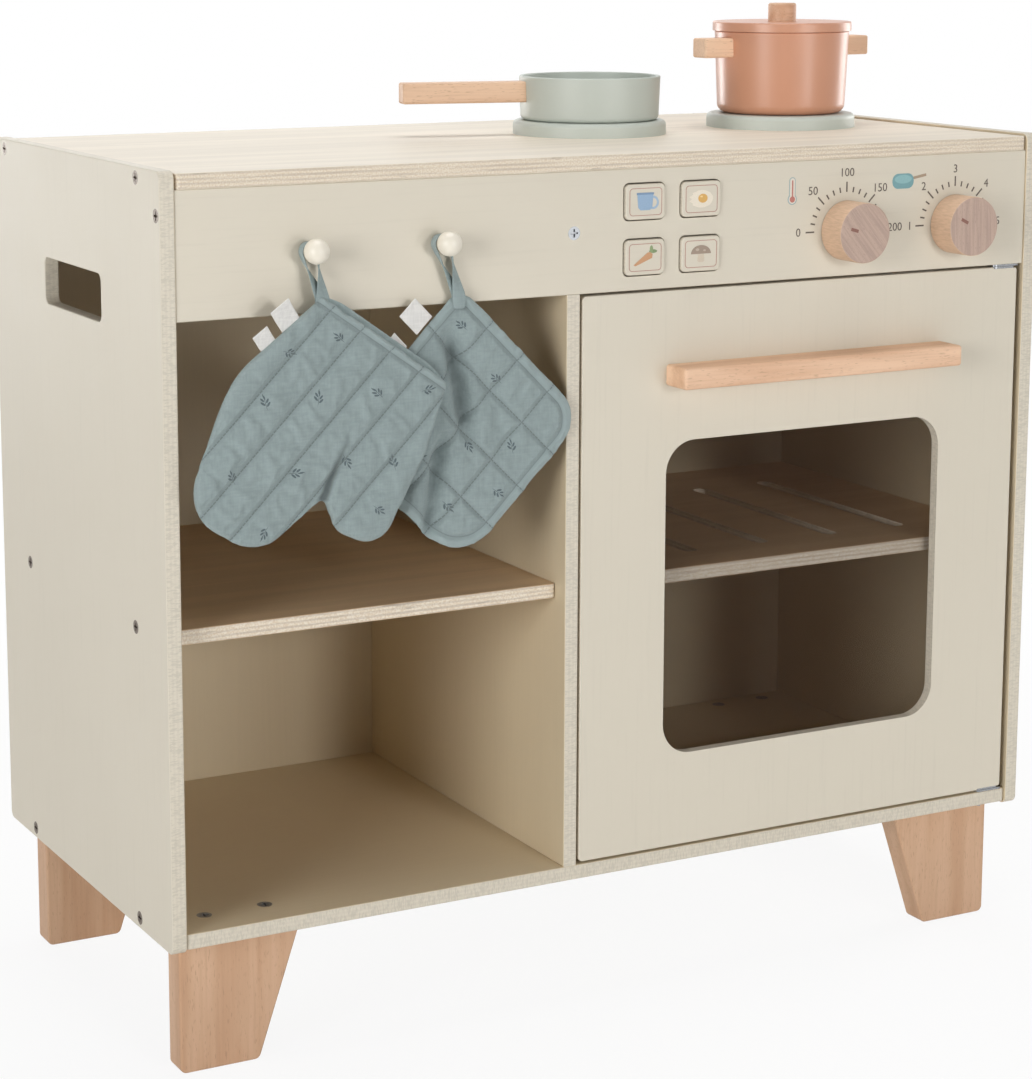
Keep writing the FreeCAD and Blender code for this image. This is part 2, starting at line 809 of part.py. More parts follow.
def leg(label, side, y):
    """A leg drawn with its outer face at x = 0, turned about Z for the left side."""
    body = new_body(f"{label}_blank")
    sketch = sketch_on(body, "XZ_Plane", ("0", "0", "-leg_thickness / 2"))
    top, foot, height = value("leg_top"), value("leg_foot"), value("floor_gap + bottom_rise")
    closed_lines(sketch, [Vector(-foot, -height), Vector(0, -height), Vector(), Vector(-top, 0)])
    for i, kind in enumerate(("Horizontal", "Vertical", "Horizontal")):
        sketch.addConstraint(Sketcher.Constraint(kind, i))
    sketch.addConstraint(Sketcher.Constraint("Coincident", 1, 2, -1, 1))
    dimension(sketch, "leg_foot", "DistanceX", 0, 1, 0, 2)
    dimension(sketch, "leg_top", "DistanceX", 2, 2, 2, 1)
    dimension(sketch, "floor_gap + bottom_rise", "DistanceY", 1, 1, 1, 2)
    pad(body, sketch, "leg_thickness")

    def foot_corners(edge):
        return straight_along("Y")(edge) and edge.CenterOfMass.z < -height / 2

    round_edges(body, "leg_corner", foot_corners)
    half = value("leg_thickness / 2")

    def long_edges(edge):
        return in_planes("Y", -half, half)(edge) and not in_planes("Z", 0)(edge)

    round_edges(body, "leg_edge", long_edges)
    if side < 0:
        body.Placement = FreeCAD.Placement(Vector(), FreeCAD.Rotation(UP, 180))
    bind_point(body, "Placement", (f"{side} * {LEG_OUTER}", y, "bottom_rise"))
    node(label, cut(label, body, leg_drill))


def burner(label, x):
    centre = (x, "burner_setback", WORKTOP_TOP)
    blank = disc(f"{label}_blank", "Z", centre, "burner_diameter", "burner_height")
    doc.recompute()
    round_edges(blank, "burner_edge", in_planes("Z", value(BURNER_TOP)))
    node(label, cut(label, blank, burner_drill))


def peg(label, x):
    """A ball on a stem, with a tenon in the fascia."""
    ball = doc.addObject("Part::Sphere", f"{label}_ball")
    bind(ball, Radius="peg_ball / 2")
    bind_point(ball, "Placement", (x, f"front_recess - {PEG_REACH}", FASCIA_MIDDLE))
    root = (x, "front_recess", FASCIA_MIDDLE)
    stem = cylinder(f"{label}_stem", root, "peg_stem", PEG_REACH, TO_FRONT)
    tenon = cylinder(f"{label}_tenon", root, "peg_tenon", "peg_tenon_length", TO_BACK)
    node(label, fuse(label, ball, stem, tenon))


for row, y in LEG_ROWS.items():
    leg(f"leg_{row}_left", -1, y)
    leg(f"leg_{row}_right", 1, y)
for name, x in BURNERS.items():
    burner(f"burner_{name}", x)
for name, x in PEGS.items():
    peg(f"peg_{name}", x)


# push buttons with their housing and foam

FLANGE_START = f"({FASCIA_BACK} + body_gap)"
FOAM_START = f"({FLANGE_START} + button_flange + body_gap)"
BUTTONS_X = f"(({BUTTON_COLUMNS['left']} + {BUTTON_COLUMNS['right']}) / 2)"
BUTTONS_WIDTH = f"({BUTTON_COLUMN_PITCH} + button_width + 2 * button_lap + 2 * body_gap)"
BUTTONS_HEIGHT = f"({BUTTON_ROW_PITCH} + button_height + 2 * button_lap + 2 * body_gap)"


def push_button(label, x, z):
    """A cap through the fascia and a wider flange behind it, which keeps it in."""
    start = "(front_recess - button_proud)"
    cap = button_block(f"{label}_cap", x, z, "0", start, f"{FLANGE_START} - {start}")
    round_edges(cap, "button_edge", in_planes("Y", value(start)))
    flange = button_block(f"{label}_flange", x, z, "button_lap", FLANGE_START, "button_flange")
    node(label, fuse(label, cap, flange))


def housing_block(label, margin, start, depth):
    width = f"({BUTTONS_WIDTH} + 2 * ({margin}))"
    height = f"({BUTTONS_HEIGHT} + 2 * ({margin}))"
    low = (f"{BUTTONS_X} - {width} / 2", start, f"{FASCIA_MIDDLE} - {height} / 2")
    return slab(label, "Y", low, (width, depth, height), "button_corner")


for row, z in BUTTON_ROWS.items():
    for column, x in BUTTON_COLUMNS.items():
        push_button(f"button_{row}_{column}", x, z)
foam = housing_block("foam_blank", "-body_gap", FOAM_START, "foam_depth")
node("button_foam", foam)
FOAM_BACK = f"({FOAM_START} + foam_depth)"
room = housing_block("housing_room", "0", "0", FOAM_BACK)
shell_depth = f"{FOAM_BACK} + housing_wall - {FASCIA_BACK}"
shell = housing_block("housing_shell", "housing_wall", FASCIA_BACK, shell_depth)
node("button_housing", cut("button_housing", shell, room))


# dials

def dial(label, x):
    """A knob in front of the fascia on a headed spindle that turns in it."""
    back = "(front_recess - dial_gap)"
    blank = disc(f"{label}_blank", "Y", (x, back, DIAL_Z), "dial_diameter", "dial_depth")
    doc.recompute()
    round_edges(blank, "dial_edge", in_planes("Y", value(f"{back} - dial_depth")))
    bore_width = "spindle_diameter + 2 * screw_fit"
    bore = cylinder(f"{label}_bore", (x, back, DIAL_Z), bore_width, "spindle_seat", TO_FRONT)
    node(f"{label}_knob", cut(f"{label}_knob", blank, bore))
    head_start = f"({FASCIA_BACK} + body_gap)"
    length = f"{head_start} - {back} + spindle_seat"
    shank = cylinder(f"{label}_shank", (x, head_start, DIAL_Z), "spindle_diameter", length, TO_FRONT)
    head = cylinder(f"{label}_head", (x, head_start, DIAL_Z), "spindle_head", "spindle_head_depth", TO_BACK)
    node(f"{label}_spindle", fuse(f"{label}_spindle", shank, head))


for name, x in DIALS.items():
    dial(name, x)


# oven door with its window, handle, hinges and magnet stop

LEAF_FOOT = f"({FASCIA_FOOT} - 2 * leaf_thickness - leaf_gap)"
LEAF_TOP = f"({BOTTOM_TOP} + 2 * leaf_thickness + leaf_gap)"
LEAF_LOW = (f"{PIVOT_X} - leaf_arm", f"{PIVOT_Y} - board / 2 + leaf_setback")
LEAF_WIDTH = "(board - 2 * leaf_setback)"
PIN_ROOM = "(pin_length - 2 * leaf_thickness - leaf_gap + body_gap)"
STRIKE_X = f"({DIVIDER_RIGHT} + stop_width / 2)"
STRIKE_Z = f"({DOOR_TOP} - stop_drop)"
STRIKE = (STRIKE_X, DOOR_BACK, STRIKE_Z)
STOP_FRONT = f"({DOOR_BACK} + strike_thickness + body_gap)"


def window_block(label, margin, start, depth):
    width = f"({WINDOW_WIDTH} + 2 * ({margin}))"
    height = f"({WINDOW_HEIGHT} + 2 * ({margin}))"
    low = (f"{DOOR_MIDDLE} - {width} / 2", start, f"{WINDOW_MIDDLE} - {height} / 2")
    return slab(label, "Y", low, (width, depth, height), f"window_corner + ({margin})")


def door_panel():
    start = (DOOR_LEFT, "front_recess", DOOR_FOOT)
    size = (DOOR_WIDTH, "board", DOOR_HEIGHT)
    board = slab("door_board", "Y", start, size, "door_corner", "board_edge")
    opening = window_block("window_opening", "0", "0", THROUGH)
    rebate = window_block("window_rebate", "pane_lap", f"{DOOR_BACK} - pane_thickness", "board")
    recess_start = f"{PIVOT_X} - leaf_arm - body_gap"
    recess_size = ("leaf_arm + 2 * pivot_inset + board", THROUGH, "board")
    recesses = [
        box("upper_recess", (recess_start, "-board", LEAF_FOOT), recess_size),
        box("lower_recess", (recess_start, "-board", f"{LEAF_TOP} - board"), recess_size),
    ]
    pin = "pin_diameter + 2 * body_gap"
    recesses.append(cylinder("upper_pin_hole", (PIVOT_X, PIVOT_Y, LEAF_FOOT), pin, PIN_ROOM, DOWN))
    recesses.append(cylinder("lower_pin_hole", (PIVOT_X, PIVOT_Y, LEAF_TOP), pin, PIN_ROOM, UP))
    shank = "strike_shank + 2 * screw_fit"
    recesses.append(cylinder("strike_hole", STRIKE, shank, "strike_shank_length", TO_FRONT))
    glazed = cut("door_glazed", board, fuse("window_cut", opening, rebate))
    node("door_panel", cut("door_panel", glazed, *recesses, handle_drill, pane_drill, door_leaf_drill))


def door_window():
    front = f"{DOOR_BACK} - pane_thickness"
    pane = window_block("pane_blank", "pane_lap - pane_gap", front, "pane_thickness")
    node("door_window", cut("door_window", pane, pane_drill))


def door_handle():
    front = "front_recess - handle_depth"
    low = (f"{DOOR_LEFT} + handle_inset", front, f"{HANDLE_MIDDLE} - handle_height / 2")
    bar = slab("handle_bar", "Y", low, (HANDLE_LENGTH, "handle_depth", "handle_height"), "handle_edge")
    round_edges(bar, "handle_edge", in_planes("Y", value(front)))
    node("door_handle", cut("door_handle", bar, handle_drill))


def fixed_leaf(label, foot, pin_start, direction):
    """A plate on the cabinet with a pin through the door's plate."""
    size = ("leaf_arm + 2 * leaf_heel", LEAF_WIDTH, "leaf_thickness")
    plate = slab(f"{label}_plate", "Z", (*LEAF_LOW, foot), size, "board_corner")
    pin = cylinder(f"{label}_pin", (PIVOT_X, PIVOT_Y, pin_start), "pin_diameter", "pin_length", direction)
    node(label, cut(label, fuse(f"{label}_blank", plate, pin), fixed_leaf_drill))


def door_leaf(label, foot):
    size = ("leaf_arm + leaf_heel", LEAF_WIDTH, "leaf_thickness")
    plate = slab(f"{label}_plate", "Z", (*LEAF_LOW, foot), size, "board_corner")
    bore = "pin_diameter + 2 * running_fit"
    hole = cylinder(f"{label}_hole", (PIVOT_X, PIVOT_Y, f"{foot} - board"), bore, THROUGH)
    node(label, cut(label, plate, hole, door_leaf_drill))


def magnet_stop():
    low = (DIVIDER_RIGHT, STOP_FRONT, f"{STRIKE_Z} - stop_height / 2")
    block = slab("stop_blank", "Y", low, ("stop_width", "stop_depth", "stop_height"), edge="board_edge")
    bore = "magnet_diameter + 2 * screw_fit"
    socket = cylinder("magnet_socket", (STRIKE_X, STOP_FRONT, STRIKE_Z), bore, "magnet_depth", TO_BACK)
    node("door_stop", cut("door_stop", block, socket))
    magnet_back = (STRIKE_X, f"({STOP_FRONT} + magnet_depth)", STRIKE_Z)
    node("door_magnet", disc("door_magnet", "Y", magnet_back, "magnet_diameter", "magnet_depth"))


def door_strike():
    """A steel tack on the back of the door, facing the magnet."""
    head = cylinder("strike_head", STRIKE, "strike_diameter", "strike_thickness", TO_BACK)
    shank = cylinder("strike_stem", STRIKE, "strike_shank", "strike_shank_length", TO_FRONT)
    node("door_strike", fuse("door_strike", head, shank))


door_panel()
door_window()
door_handle()
fixed_leaf("hinge_fixed_upper", f"{FASCIA_FOOT} - leaf_thickness", FASCIA_FOOT, DOWN)
fixed_leaf("hinge_fixed_lower", BOTTOM_TOP, BOTTOM_TOP, UP)
door_leaf("hinge_door_upper", LEAF_FOOT)
door_leaf("hinge_door_lower", f"{LEAF_TOP} - leaf_thickness")
magnet_stop()
door_strike()


# frying pan, cooking pot and lid, each drawn from the middle of its own foot

def cup(label, kind):
    """A turned vessel with a slightly flaring wall and a rounded foot."""
    body = new_body(label)
    outer = body.newObject("PartDesign::AdditiveCone", f"{label}_outer")
    bind(outer, Radius1=f"{kind}_foot / 2", Radius2=f"{kind}_rim / 2", Height=f"{kind}_height")
    inner = body.newObject("PartDesign::SubtractiveCone", f"{label}_inner")
    inner_foot, inner_rim = f"{kind}_foot / 2 - {kind}_wall", f"{kind}_rim / 2 - {kind}_wall"
    bind(inner, Radius1=inner_foot, Radius2=inner_rim, Height=f"{kind}_height - {kind}_base")
    bind_point(inner, "Placement", ("0", "0", f"{kind}_base"))
    height, base = value(f"{kind}_height"), value(f"{kind}_base")
    round_edges(body, f"{kind}_foot_round", in_planes("Z", 0))
    round_edges(body, f"{kind}_inner_round", in_planes("Z", base))
    round_edges(body, "rim_round", in_planes("Z", height))
    return body


def cup_outside(label, kind):
    item = doc.addObject("Part::Cone", label)
    bind(item, Radius1=f"{kind}_foot / 2", Radius2=f"{kind}_rim / 2", Height=f"{kind}_height")
    return item


def grip(label, kind, side, drop, drill):
    """A bar from inside the wall outwards, its inner end shaped to the wall."""
    length = f"({kind}_rim / 2 + {kind}_handle_length)"
    start = "0" if side > 0 else f"-{length}"
    low = (start, f"-{kind}_handle_width / 2", f"{kind}_height - {drop} - {kind}_handle_height / 2")
    size = (length, f"{kind}_handle_width", f"{kind}_handle_height")
    bar = slab(f"{label}_bar", "X", low, size, "grip_edge")
    tip = side * value(length)
    round_edges(bar, "grip_edge", in_planes("X", tip))
    return cut(f"{label}_cut", cut(f"{label}_fit", bar, cup_outside(f"{label}_wall", kind)), drill)


def wall_screw_place(kind, side, drop):
    """A screw from inside the wall into the handle, with its head in the wall."""
    height = f"({kind}_height - {drop})"
    flare = f"({kind}_rim - {kind}_foot) / 2 * {height} / {kind}_height"
    inside = f"({kind}_foot / 2 + {flare} - {kind}_wall + wall_screw_sink)"
    return (f"{side} * {inside}", "0", height), Vector(side, 0, 0)


PAN_SEAT = (BURNERS["left"], f"{FRONT} + burner_setback", f"floor_gap + {BURNER_TOP} + rest_gap")
POT_SEAT = (BURNERS["right"], f"{FRONT} + burner_setback", f"floor_gap + {BURNER_TOP} + rest_gap")
LID_SEAT = POT_SEAT[:2] + (f"{POT_SEAT[2]} + pot_height + rest_gap",)


def frying_pan():
    place = [wall_screw_place("pan", -1, "pan_handle_drop")]
    drill = copies("pan_drill", DRILLS["small_screw"], place)
    pieces = (
        ("pan_body", cut("pan_body", cup("pan_cup", "pan"), drill)),
        ("pan_handle", grip("pan_handle", "pan", -1, "pan_handle_drop", drill)),
        ("pan_screw", copies("pan_screw", SCREWS["small_screw"], place)),
    )
    for label, item in pieces:
        item.Placement = FreeCAD.Placement(Vector(), FreeCAD.Rotation(UP, -PAN_TURN_DEGREES))
        node(label, item, PAN_SEAT)


def cooking_pot():
    places = [wall_screw_place("pot", side, "pot_handle_drop") for side in (-1, 1)]
    drill = copies("pot_drill", DRILLS["small_screw"], places)
    node("pot_body", cut("pot_body", cup("pot_cup", "pot"), drill), POT_SEAT)
    for label, side in (("pot_handle_left", -1), ("pot_handle_right", 1)):
        node(label, grip(label, "pot", side, "pot_handle_drop", drill), POT_SEAT)
    node("pot_screws", copies("pot_screws", SCREWS["small_screw"], places), POT_SEAT)


def pot_lid():
    """A flat lid with a lip inside the pot and a turned knob on a tenon."""
    plate = disc("lid_plate", "Z", ("0", "0", "0"), "pot_rim + 2 * lid_overhang", "lid_thickness")
    doc.recompute()
    round_edges(plate, "lid_edge", in_planes("Z", value("lid_thickness")))
    lip_width = "pot_rim - 2 * pot_wall - 2 * lid_fit"
    lip = cylinder("lid_lip_ring", ("0", "0", "-lid_lip"), lip_width, "lid_lip")
    socket_foot = "(lid_thickness - lid_tenon_length)"
    socket = cylinder("lid_socket", ("0", "0", socket_foot), "lid_tenon + 2 * screw_fit", "lid_thickness")
    node("pot_lid", cut("pot_lid", fuse("lid_blank", plate, lip), socket), LID_SEAT)
    knob_foot = ("0", "0", "lid_thickness")
    knob = disc("lid_knob_blank", "Z", knob_foot, "lid_knob_diameter", "lid_knob_height")
    doc.recompute()
    round_edges(knob, "grip_edge", in_planes("Z", value("lid_thickness + lid_knob_height")))
    tenon = cylinder("lid_tenon_pin", ("0", "0", socket_foot), "lid_tenon", "lid_thickness")
    node("lid_knob", fuse("lid_knob", knob, tenon), LID_SEAT)


frying_pan()
cooking_pot()
pot_lid()


# mitt and pot holder, drawn from their pegs, with Y = 0 at the front of the fascia

# x, z and rounding of each corner as shares of the mitt's length, clockwise from the loop
MITT_PATTERN = (
    (0.023, -0.146, 0.018),
    (0.477, -0.465, 0.018),
    (0.386, -0.708, 0.35),
    (0.222, -1, 0.1),
    (0.064, -0.936, 0.076),
    (0.018, -0.813, 0.018),
    (-0.216, -0.982, 0.14),
    (-0.48, -0.825, 0.164),
    (-0.304, -0.392, 0.35),
)
# share of the thickness from the back, and share of the crown's reach drawn in there
CROWN = ((0, 0.5), (0.14, 0.18), (0.38, 0), (0.62, 0), (0.84, 0.18), (0.95, 0.5), (1, 1))


def mitt_corners():
    length = value("mitt_length")
    return [(x * length, z * length, rounding * length) for x, z, rounding in MITT_PATTERN]


def holder_middle():
    half_diagonal = value("holder_side") / math.sqrt(2)
    return Vector(value("holder_shift"), 0, -value("holder_hang") - half_diagonal)


def holder_corners():
    reach = value("holder_side") / math.sqrt(2)
    middle = holder_middle()
    ways = {"top": (0, 1), "right": (1, 0), "bottom": (0, -1), "left": (-1, 0)}
    return [
        (middle.x + dx * reach, middle.z + dz * reach, value(f"holder_round_{name}"))
        for name, (dx, dz) in ways.items()
    ]


def drawn_in(corners, inset):
    """The corner points of the outline with every side moved inwards."""
    count = len(corners)
    places = [Vector(x, 0, z) for x, z, _ in corners]
    moved = []
    for i in range(count):
        before = (places[i] - places[i - 1]).normalize()
        after = (places[(i + 1) % count] - places[i]).normalize()
        inward_before = Vector(before.z, 0, -before.x)
        inward_after = Vector(after.z, 0, -after.x)
        middle = inward_before + inward_after
        moved.append(places[i] + middle * (2 * inset / middle.Length ** 2))
    return moved


def outline(corners, inset, y):
    """A closed wire of lines and tangent arcs at one depth, drawn in by an inset."""
    places = drawn_in(corners, inset)
    count = len(places)
    ends = []
    for i, (_, _, rounding) in enumerate(corners):
        before = (places[i - 1] - places[i]).normalize()
        after = (places[(i + 1) % count] - places[i]).normalize()
        convex = before.z * after.x < before.x * after.z
        radius = max(rounding - inset, value("soft_corner_least")) if convex else rounding + inset
        half = before.getAngle(after) / 2
        tangent = radius / math.tan(half)
        bisector = (before + after).normalize()
        tip = places[i] + bisector * (radius / math.sin(half) - radius)
        ends.append((places[i] + before * tangent, tip, places[i] + after * tangent))
    depth = Vector(0, y, 0)
    edges = []
    for i, (start, tip, end) in enumerate(ends):
        edges.append(Part.Arc(start + depth, tip + depth, end + depth).toShape())
        edges.append(Part.LineSegment(end + depth, ends[(i + 1) % count][0] + depth).toShape())
    return Part.Wire(edges)


def quilted(corners, back, thickness, channels):
    """A padded form with a crowned section and stitched channels on both faces."""
    reach = value("crown_reach")
    wires = [outline(corners, inset * reach, back - share * thickness) for share, inset in CROWN]
    form = Part.makeLoft(wires, True, True)
    radius = value("channel_radius")
    rise = radius - value("channel_depth")
    grooves = []
    for middle, direction in channels:
        length = 2 * form.BoundBox.DiagonalLength
        for face in (back + rise, back - thickness - rise):
            start = middle - direction * (length / 2) + Vector(0, face, 0)
            grooves.append(Part.makeCylinder(radius, length, start, direction))
    return form.cut(Part.makeCompound(grooves))


def mitt_channels():
    """Parallel channels from the cuff to the finger tips."""
    direction = Vector(-1, 0, -1).normalize()
    across = Vector(1, 0, -1).normalize()
    first, step = value("mitt_channel_first"), value("mitt_channel_pitch")
    return [(across * (first + i * step), direction) for i in range(MITT_CHANNELS)]


def holder_channels():
    """A square grid of channels, parallel to the edges."""
    middle = holder_middle()
    one, other = Vector(1, 0, 1).normalize(), Vector(1, 0, -1).normalize()
    cell = value("holder_cell")
    return [
        (middle + across * (i * cell), along)
        for along, across in ((one, other), (other, one))
        for i in (-1, 0, 1)
    ]


def teardrop(radius, tip):
    """An arc round the origin with two straight legs to a tip."""
    heading = math.atan2(tip.z, tip.x)
    spread = math.acos(radius / tip.Length)

    def on_arc(angle):
        return Vector(radius * math.cos(angle), 0, radius * math.sin(angle))

    first, last = on_arc(heading + spread), on_arc(heading - spread)
    arc = Part.Arc(last, on_arc(heading + math.pi), first).toShape()
    legs = (Part.LineSegment(tip, last), Part.LineSegment(first, tip))
    return Part.Face(Part.Wire([legs[0].toShape(), arc, legs[1].toShape()]))


def tape_loop(foot, lean, soft):
    """A flat tape from a foot point over the peg and back, leaning forward to its foot."""
    inner = value("peg_stem / 2 + loop_slack")
    outer = inner + value("tape_thickness")
    hang = Vector(0, 0, value("body_gap - loop_slack"))
    tip = foot - hang
    inner_tip = tip * (1 - value("tape_thickness") / outer)
    back, width = -value("tape_inset"), value("tape_width")
    deep = Vector(0, back - width - lean, 0)
    ring = teardrop(outer, tip).extrude(deep).cut(teardrop(inner, inner_tip).extrude(deep))
    side = (
        (back, outer), (back, -outer), (back - lean, tip.z),
        (back - lean - width, tip.z), (back - width, -outer), (back - width, outer),
    )
    reach = outer + tip.Length
    corners = [Vector(-reach, y, z) for y, z in side]
    profile = Part.Face(Part.makePolygon(corners + corners[:1]))
    loop = ring.common(profile.extrude(Vector(2 * reach, 0, 0)))
    loop.translate(hang)
    return loop.cut(soft)


def soft_piece(label, shape, peg_name):
    item = doc.addObject("Part::Feature", label)
    item.Shape = shape
    node(label, item, (PEGS[peg_name], f"{FRONT} + front_recess", f"floor_gap + {FASCIA_MIDDLE}"))


holder_back = -value("holder_gap")
mitt_back = -value("holder_gap + holder_thickness + mitt_gap")
holder = quilted(holder_corners(), holder_back, value("holder_thickness"), holder_channels())
mitt = quilted(mitt_corners(), mitt_back, value("mitt_thickness"), mitt_channels())
holder_foot = Vector(value("holder_shift"), 0, holder.BoundBox.ZMax - value("loop_seat"))
mitt_foot = Vector(mitt_corners()[0][0], 0, mitt.BoundBox.ZMax - value("loop_seat"))
mitt_lean = value("(mitt_thickness - tape_width) / 2 - tape_inset") - mitt_back
soft_piece("pot_holder", holder, "right")
soft_piece("holder_loop", tape_loop(holder_foot, 0, holder), "right")
soft_piece("oven_mitt", mitt, "left")
soft_piece("mitt_loop", tape_loop(mitt_foot, mitt_lean, mitt), "left")


# check and write

doc.recompute()
for item in doc.Objects:
    if "Invalid" in item.State or "Error" in item.State:
        raise RuntimeError(f"{item.Label} failed: {item.State}")
for item in NODES:
    if item.Shape.isNull() or not item.Shape.isValid():
        raise RuntimeError(f"{item.Label} has no valid shape")
os.makedirs("parts", exist_ok=True)
for item in NODES:
    item.Shape.exportStep(f"parts/{item.Label}.step")
print(len(NODES), "pieces written")
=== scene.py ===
"""Play kitchen: finishes of its boards and turned toys, printed scales, quilted cloth and a studio."""

import math

import bpy
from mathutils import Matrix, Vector, noise


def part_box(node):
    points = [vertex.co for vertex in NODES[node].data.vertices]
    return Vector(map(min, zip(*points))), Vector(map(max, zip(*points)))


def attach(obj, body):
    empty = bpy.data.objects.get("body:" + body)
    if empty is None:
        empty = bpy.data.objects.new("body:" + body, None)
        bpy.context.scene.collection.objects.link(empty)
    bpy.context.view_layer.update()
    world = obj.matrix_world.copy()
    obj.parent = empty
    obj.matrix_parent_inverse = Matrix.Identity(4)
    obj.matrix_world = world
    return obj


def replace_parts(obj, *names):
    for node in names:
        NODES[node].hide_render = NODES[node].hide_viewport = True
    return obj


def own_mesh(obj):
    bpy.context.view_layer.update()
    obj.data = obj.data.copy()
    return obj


bl_info = {
    "name": "Play Kitchen",
    "version": (1, 0, 0),
    "blender": (4, 5, 0),
    "location": "3D View > Sidebar > Play Kitchen",
    "description": "Finishes, prints and soft goods of a wooden play kitchen",
    "category": "Object",
}

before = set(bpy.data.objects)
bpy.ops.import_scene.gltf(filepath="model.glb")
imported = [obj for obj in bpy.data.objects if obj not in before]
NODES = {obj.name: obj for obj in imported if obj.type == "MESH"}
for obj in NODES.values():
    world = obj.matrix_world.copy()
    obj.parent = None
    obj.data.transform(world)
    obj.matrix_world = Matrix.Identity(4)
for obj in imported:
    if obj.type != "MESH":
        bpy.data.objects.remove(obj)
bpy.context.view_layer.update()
MM = 0.001
AXES = "xyz"


# sizes and colours that a user would change

def tone(red, green, blue):
    """A screen colour, 0 to 255 each, as linear light."""

    def linear(level):
        share = level / 255
        return share / 12.92 if share <= 0.04045 else ((share + 0.055) / 1.055) ** 2.4

    return linear(red), linear(green), linear(blue)


def paint(name, description, red, green, blue):
    return bpy.props.FloatVectorProperty(
        name=name, description=description, subtype="COLOR", size=3, min=0, max=1, default=tone(red, green, blue)
    )


def length(name, description, millimetres):
    return bpy.props.FloatProperty(
        name=name, description=description, unit="LENGTH", precision=4, min=0, default=millimetres * MM
    )


class KitchenColours(bpy.types.PropertyGroup):
    """Colours of the finishes."""

    cream: paint("Cream", "Paint of the cabinet boards", 216, 208, 191)
    # partly painted shade: darker and warmer than the cream, standing for the shade inside the bays
    inside: paint("Inside", "Thin paint inside the bays", 213, 197, 167)
    # partly painted shade: darker than the worktop's birch, standing for the shade on the shelves inside the bays
    shelf: paint("Shelf", "Varnished veneer of the shelves", 218, 186, 148)
    birch: paint("Birch", "Veneer of the worktop", 238, 228, 211)
    birch_dark: paint("Birch grain", "Darker grain of a bare plywood edge", 222, 205, 181)
    ply_dark: paint("Ply layer", "Dark layers of a cut plywood edge", 174, 157, 142)
    beech: paint("Beech", "Light grain of the solid wood", 219, 185, 156)
    beech_dark: paint("Beech grain", "Dark grain of the solid wood", 193, 152, 121)
    leg: paint("Legs", "Light grain of the legs", 209, 172, 141)
    leg_dark: paint("Leg grain", "Dark grain of the legs", 193, 152, 119)
    dial_face: paint("Dial face", "End grain of the dials", 190, 164, 149)
    sage: paint("Sage", "Paint of the pan and the burners", 190, 196, 188)
    clay: paint("Clay", "Paint of the pot and its lid", 205, 149, 120)
    ivory: paint("Ivory", "Paint of the pegs", 232, 225, 210)
    steel: paint("Steel", "Plated screws and hinges", 156, 158, 161)
    bronze: paint("Bronze", "Dark plate of the screws in the sides", 116, 104, 92)
    smoke: paint("Smoke", "Tint of the oven window", 66, 46, 34)
    ink: paint("Ink", "Print of the dial scales", 92, 80, 70)
    cloth: paint("Cloth", "Ground of the quilted cotton", 146, 160, 160)
    sprig: paint("Sprig", "Print on the quilted cotton", 70, 84, 90)
    label: paint("Label", "Woven labels in the seams", 226, 224, 220)


class KitchenSizes(bpy.types.PropertyGroup):
    """Sizes of prints and trimmings."""

    print_film: length("Print", "Thickness of a print on the boards", 0.12)
    tick_inner: length("Tick start", "Radius where the dial ticks start", 23.7)
    tick_long: length("Long tick", "Radius where the long ticks end", 30)
    tick_short: length("Short tick", "Radius where the short ticks end", 27)
    tick_width: length("Tick width", "Width of a dial tick", 0.95)
    numeral_height: length("Numeral", "Height of the numbers on the dial scales", 5.3)


def colours():
    return bpy.context.scene.kitchen_colours


def sizes():
    return bpy.context.scene.kitchen_sizes


# shader expressions

class Value:
    """A socket of a finish that takes part in sums."""

    def __init__(self, finish, socket):
        self.finish = finish
        self.socket = socket

    def math(self, operation, *others):
        """A Math node whose first number is this value."""
        return self.finish.node("ShaderNodeMath", {"operation": operation}, dict(enumerate((self, *others))))

    def __add__(self, other):
        return self.math("ADD", other)

    __radd__ = __add__

    def __sub__(self, other):
        return self.math("SUBTRACT", other)

    def __rsub__(self, other):
        return self.math("MULTIPLY_ADD", -1, other)

    def __mul__(self, other):
        return self.math("MULTIPLY", other)

    __rmul__ = __mul__

    def __truediv__(self, other):
        return self.math("DIVIDE", other)

    def __abs__(self):
        return self.math("ABSOLUTE")


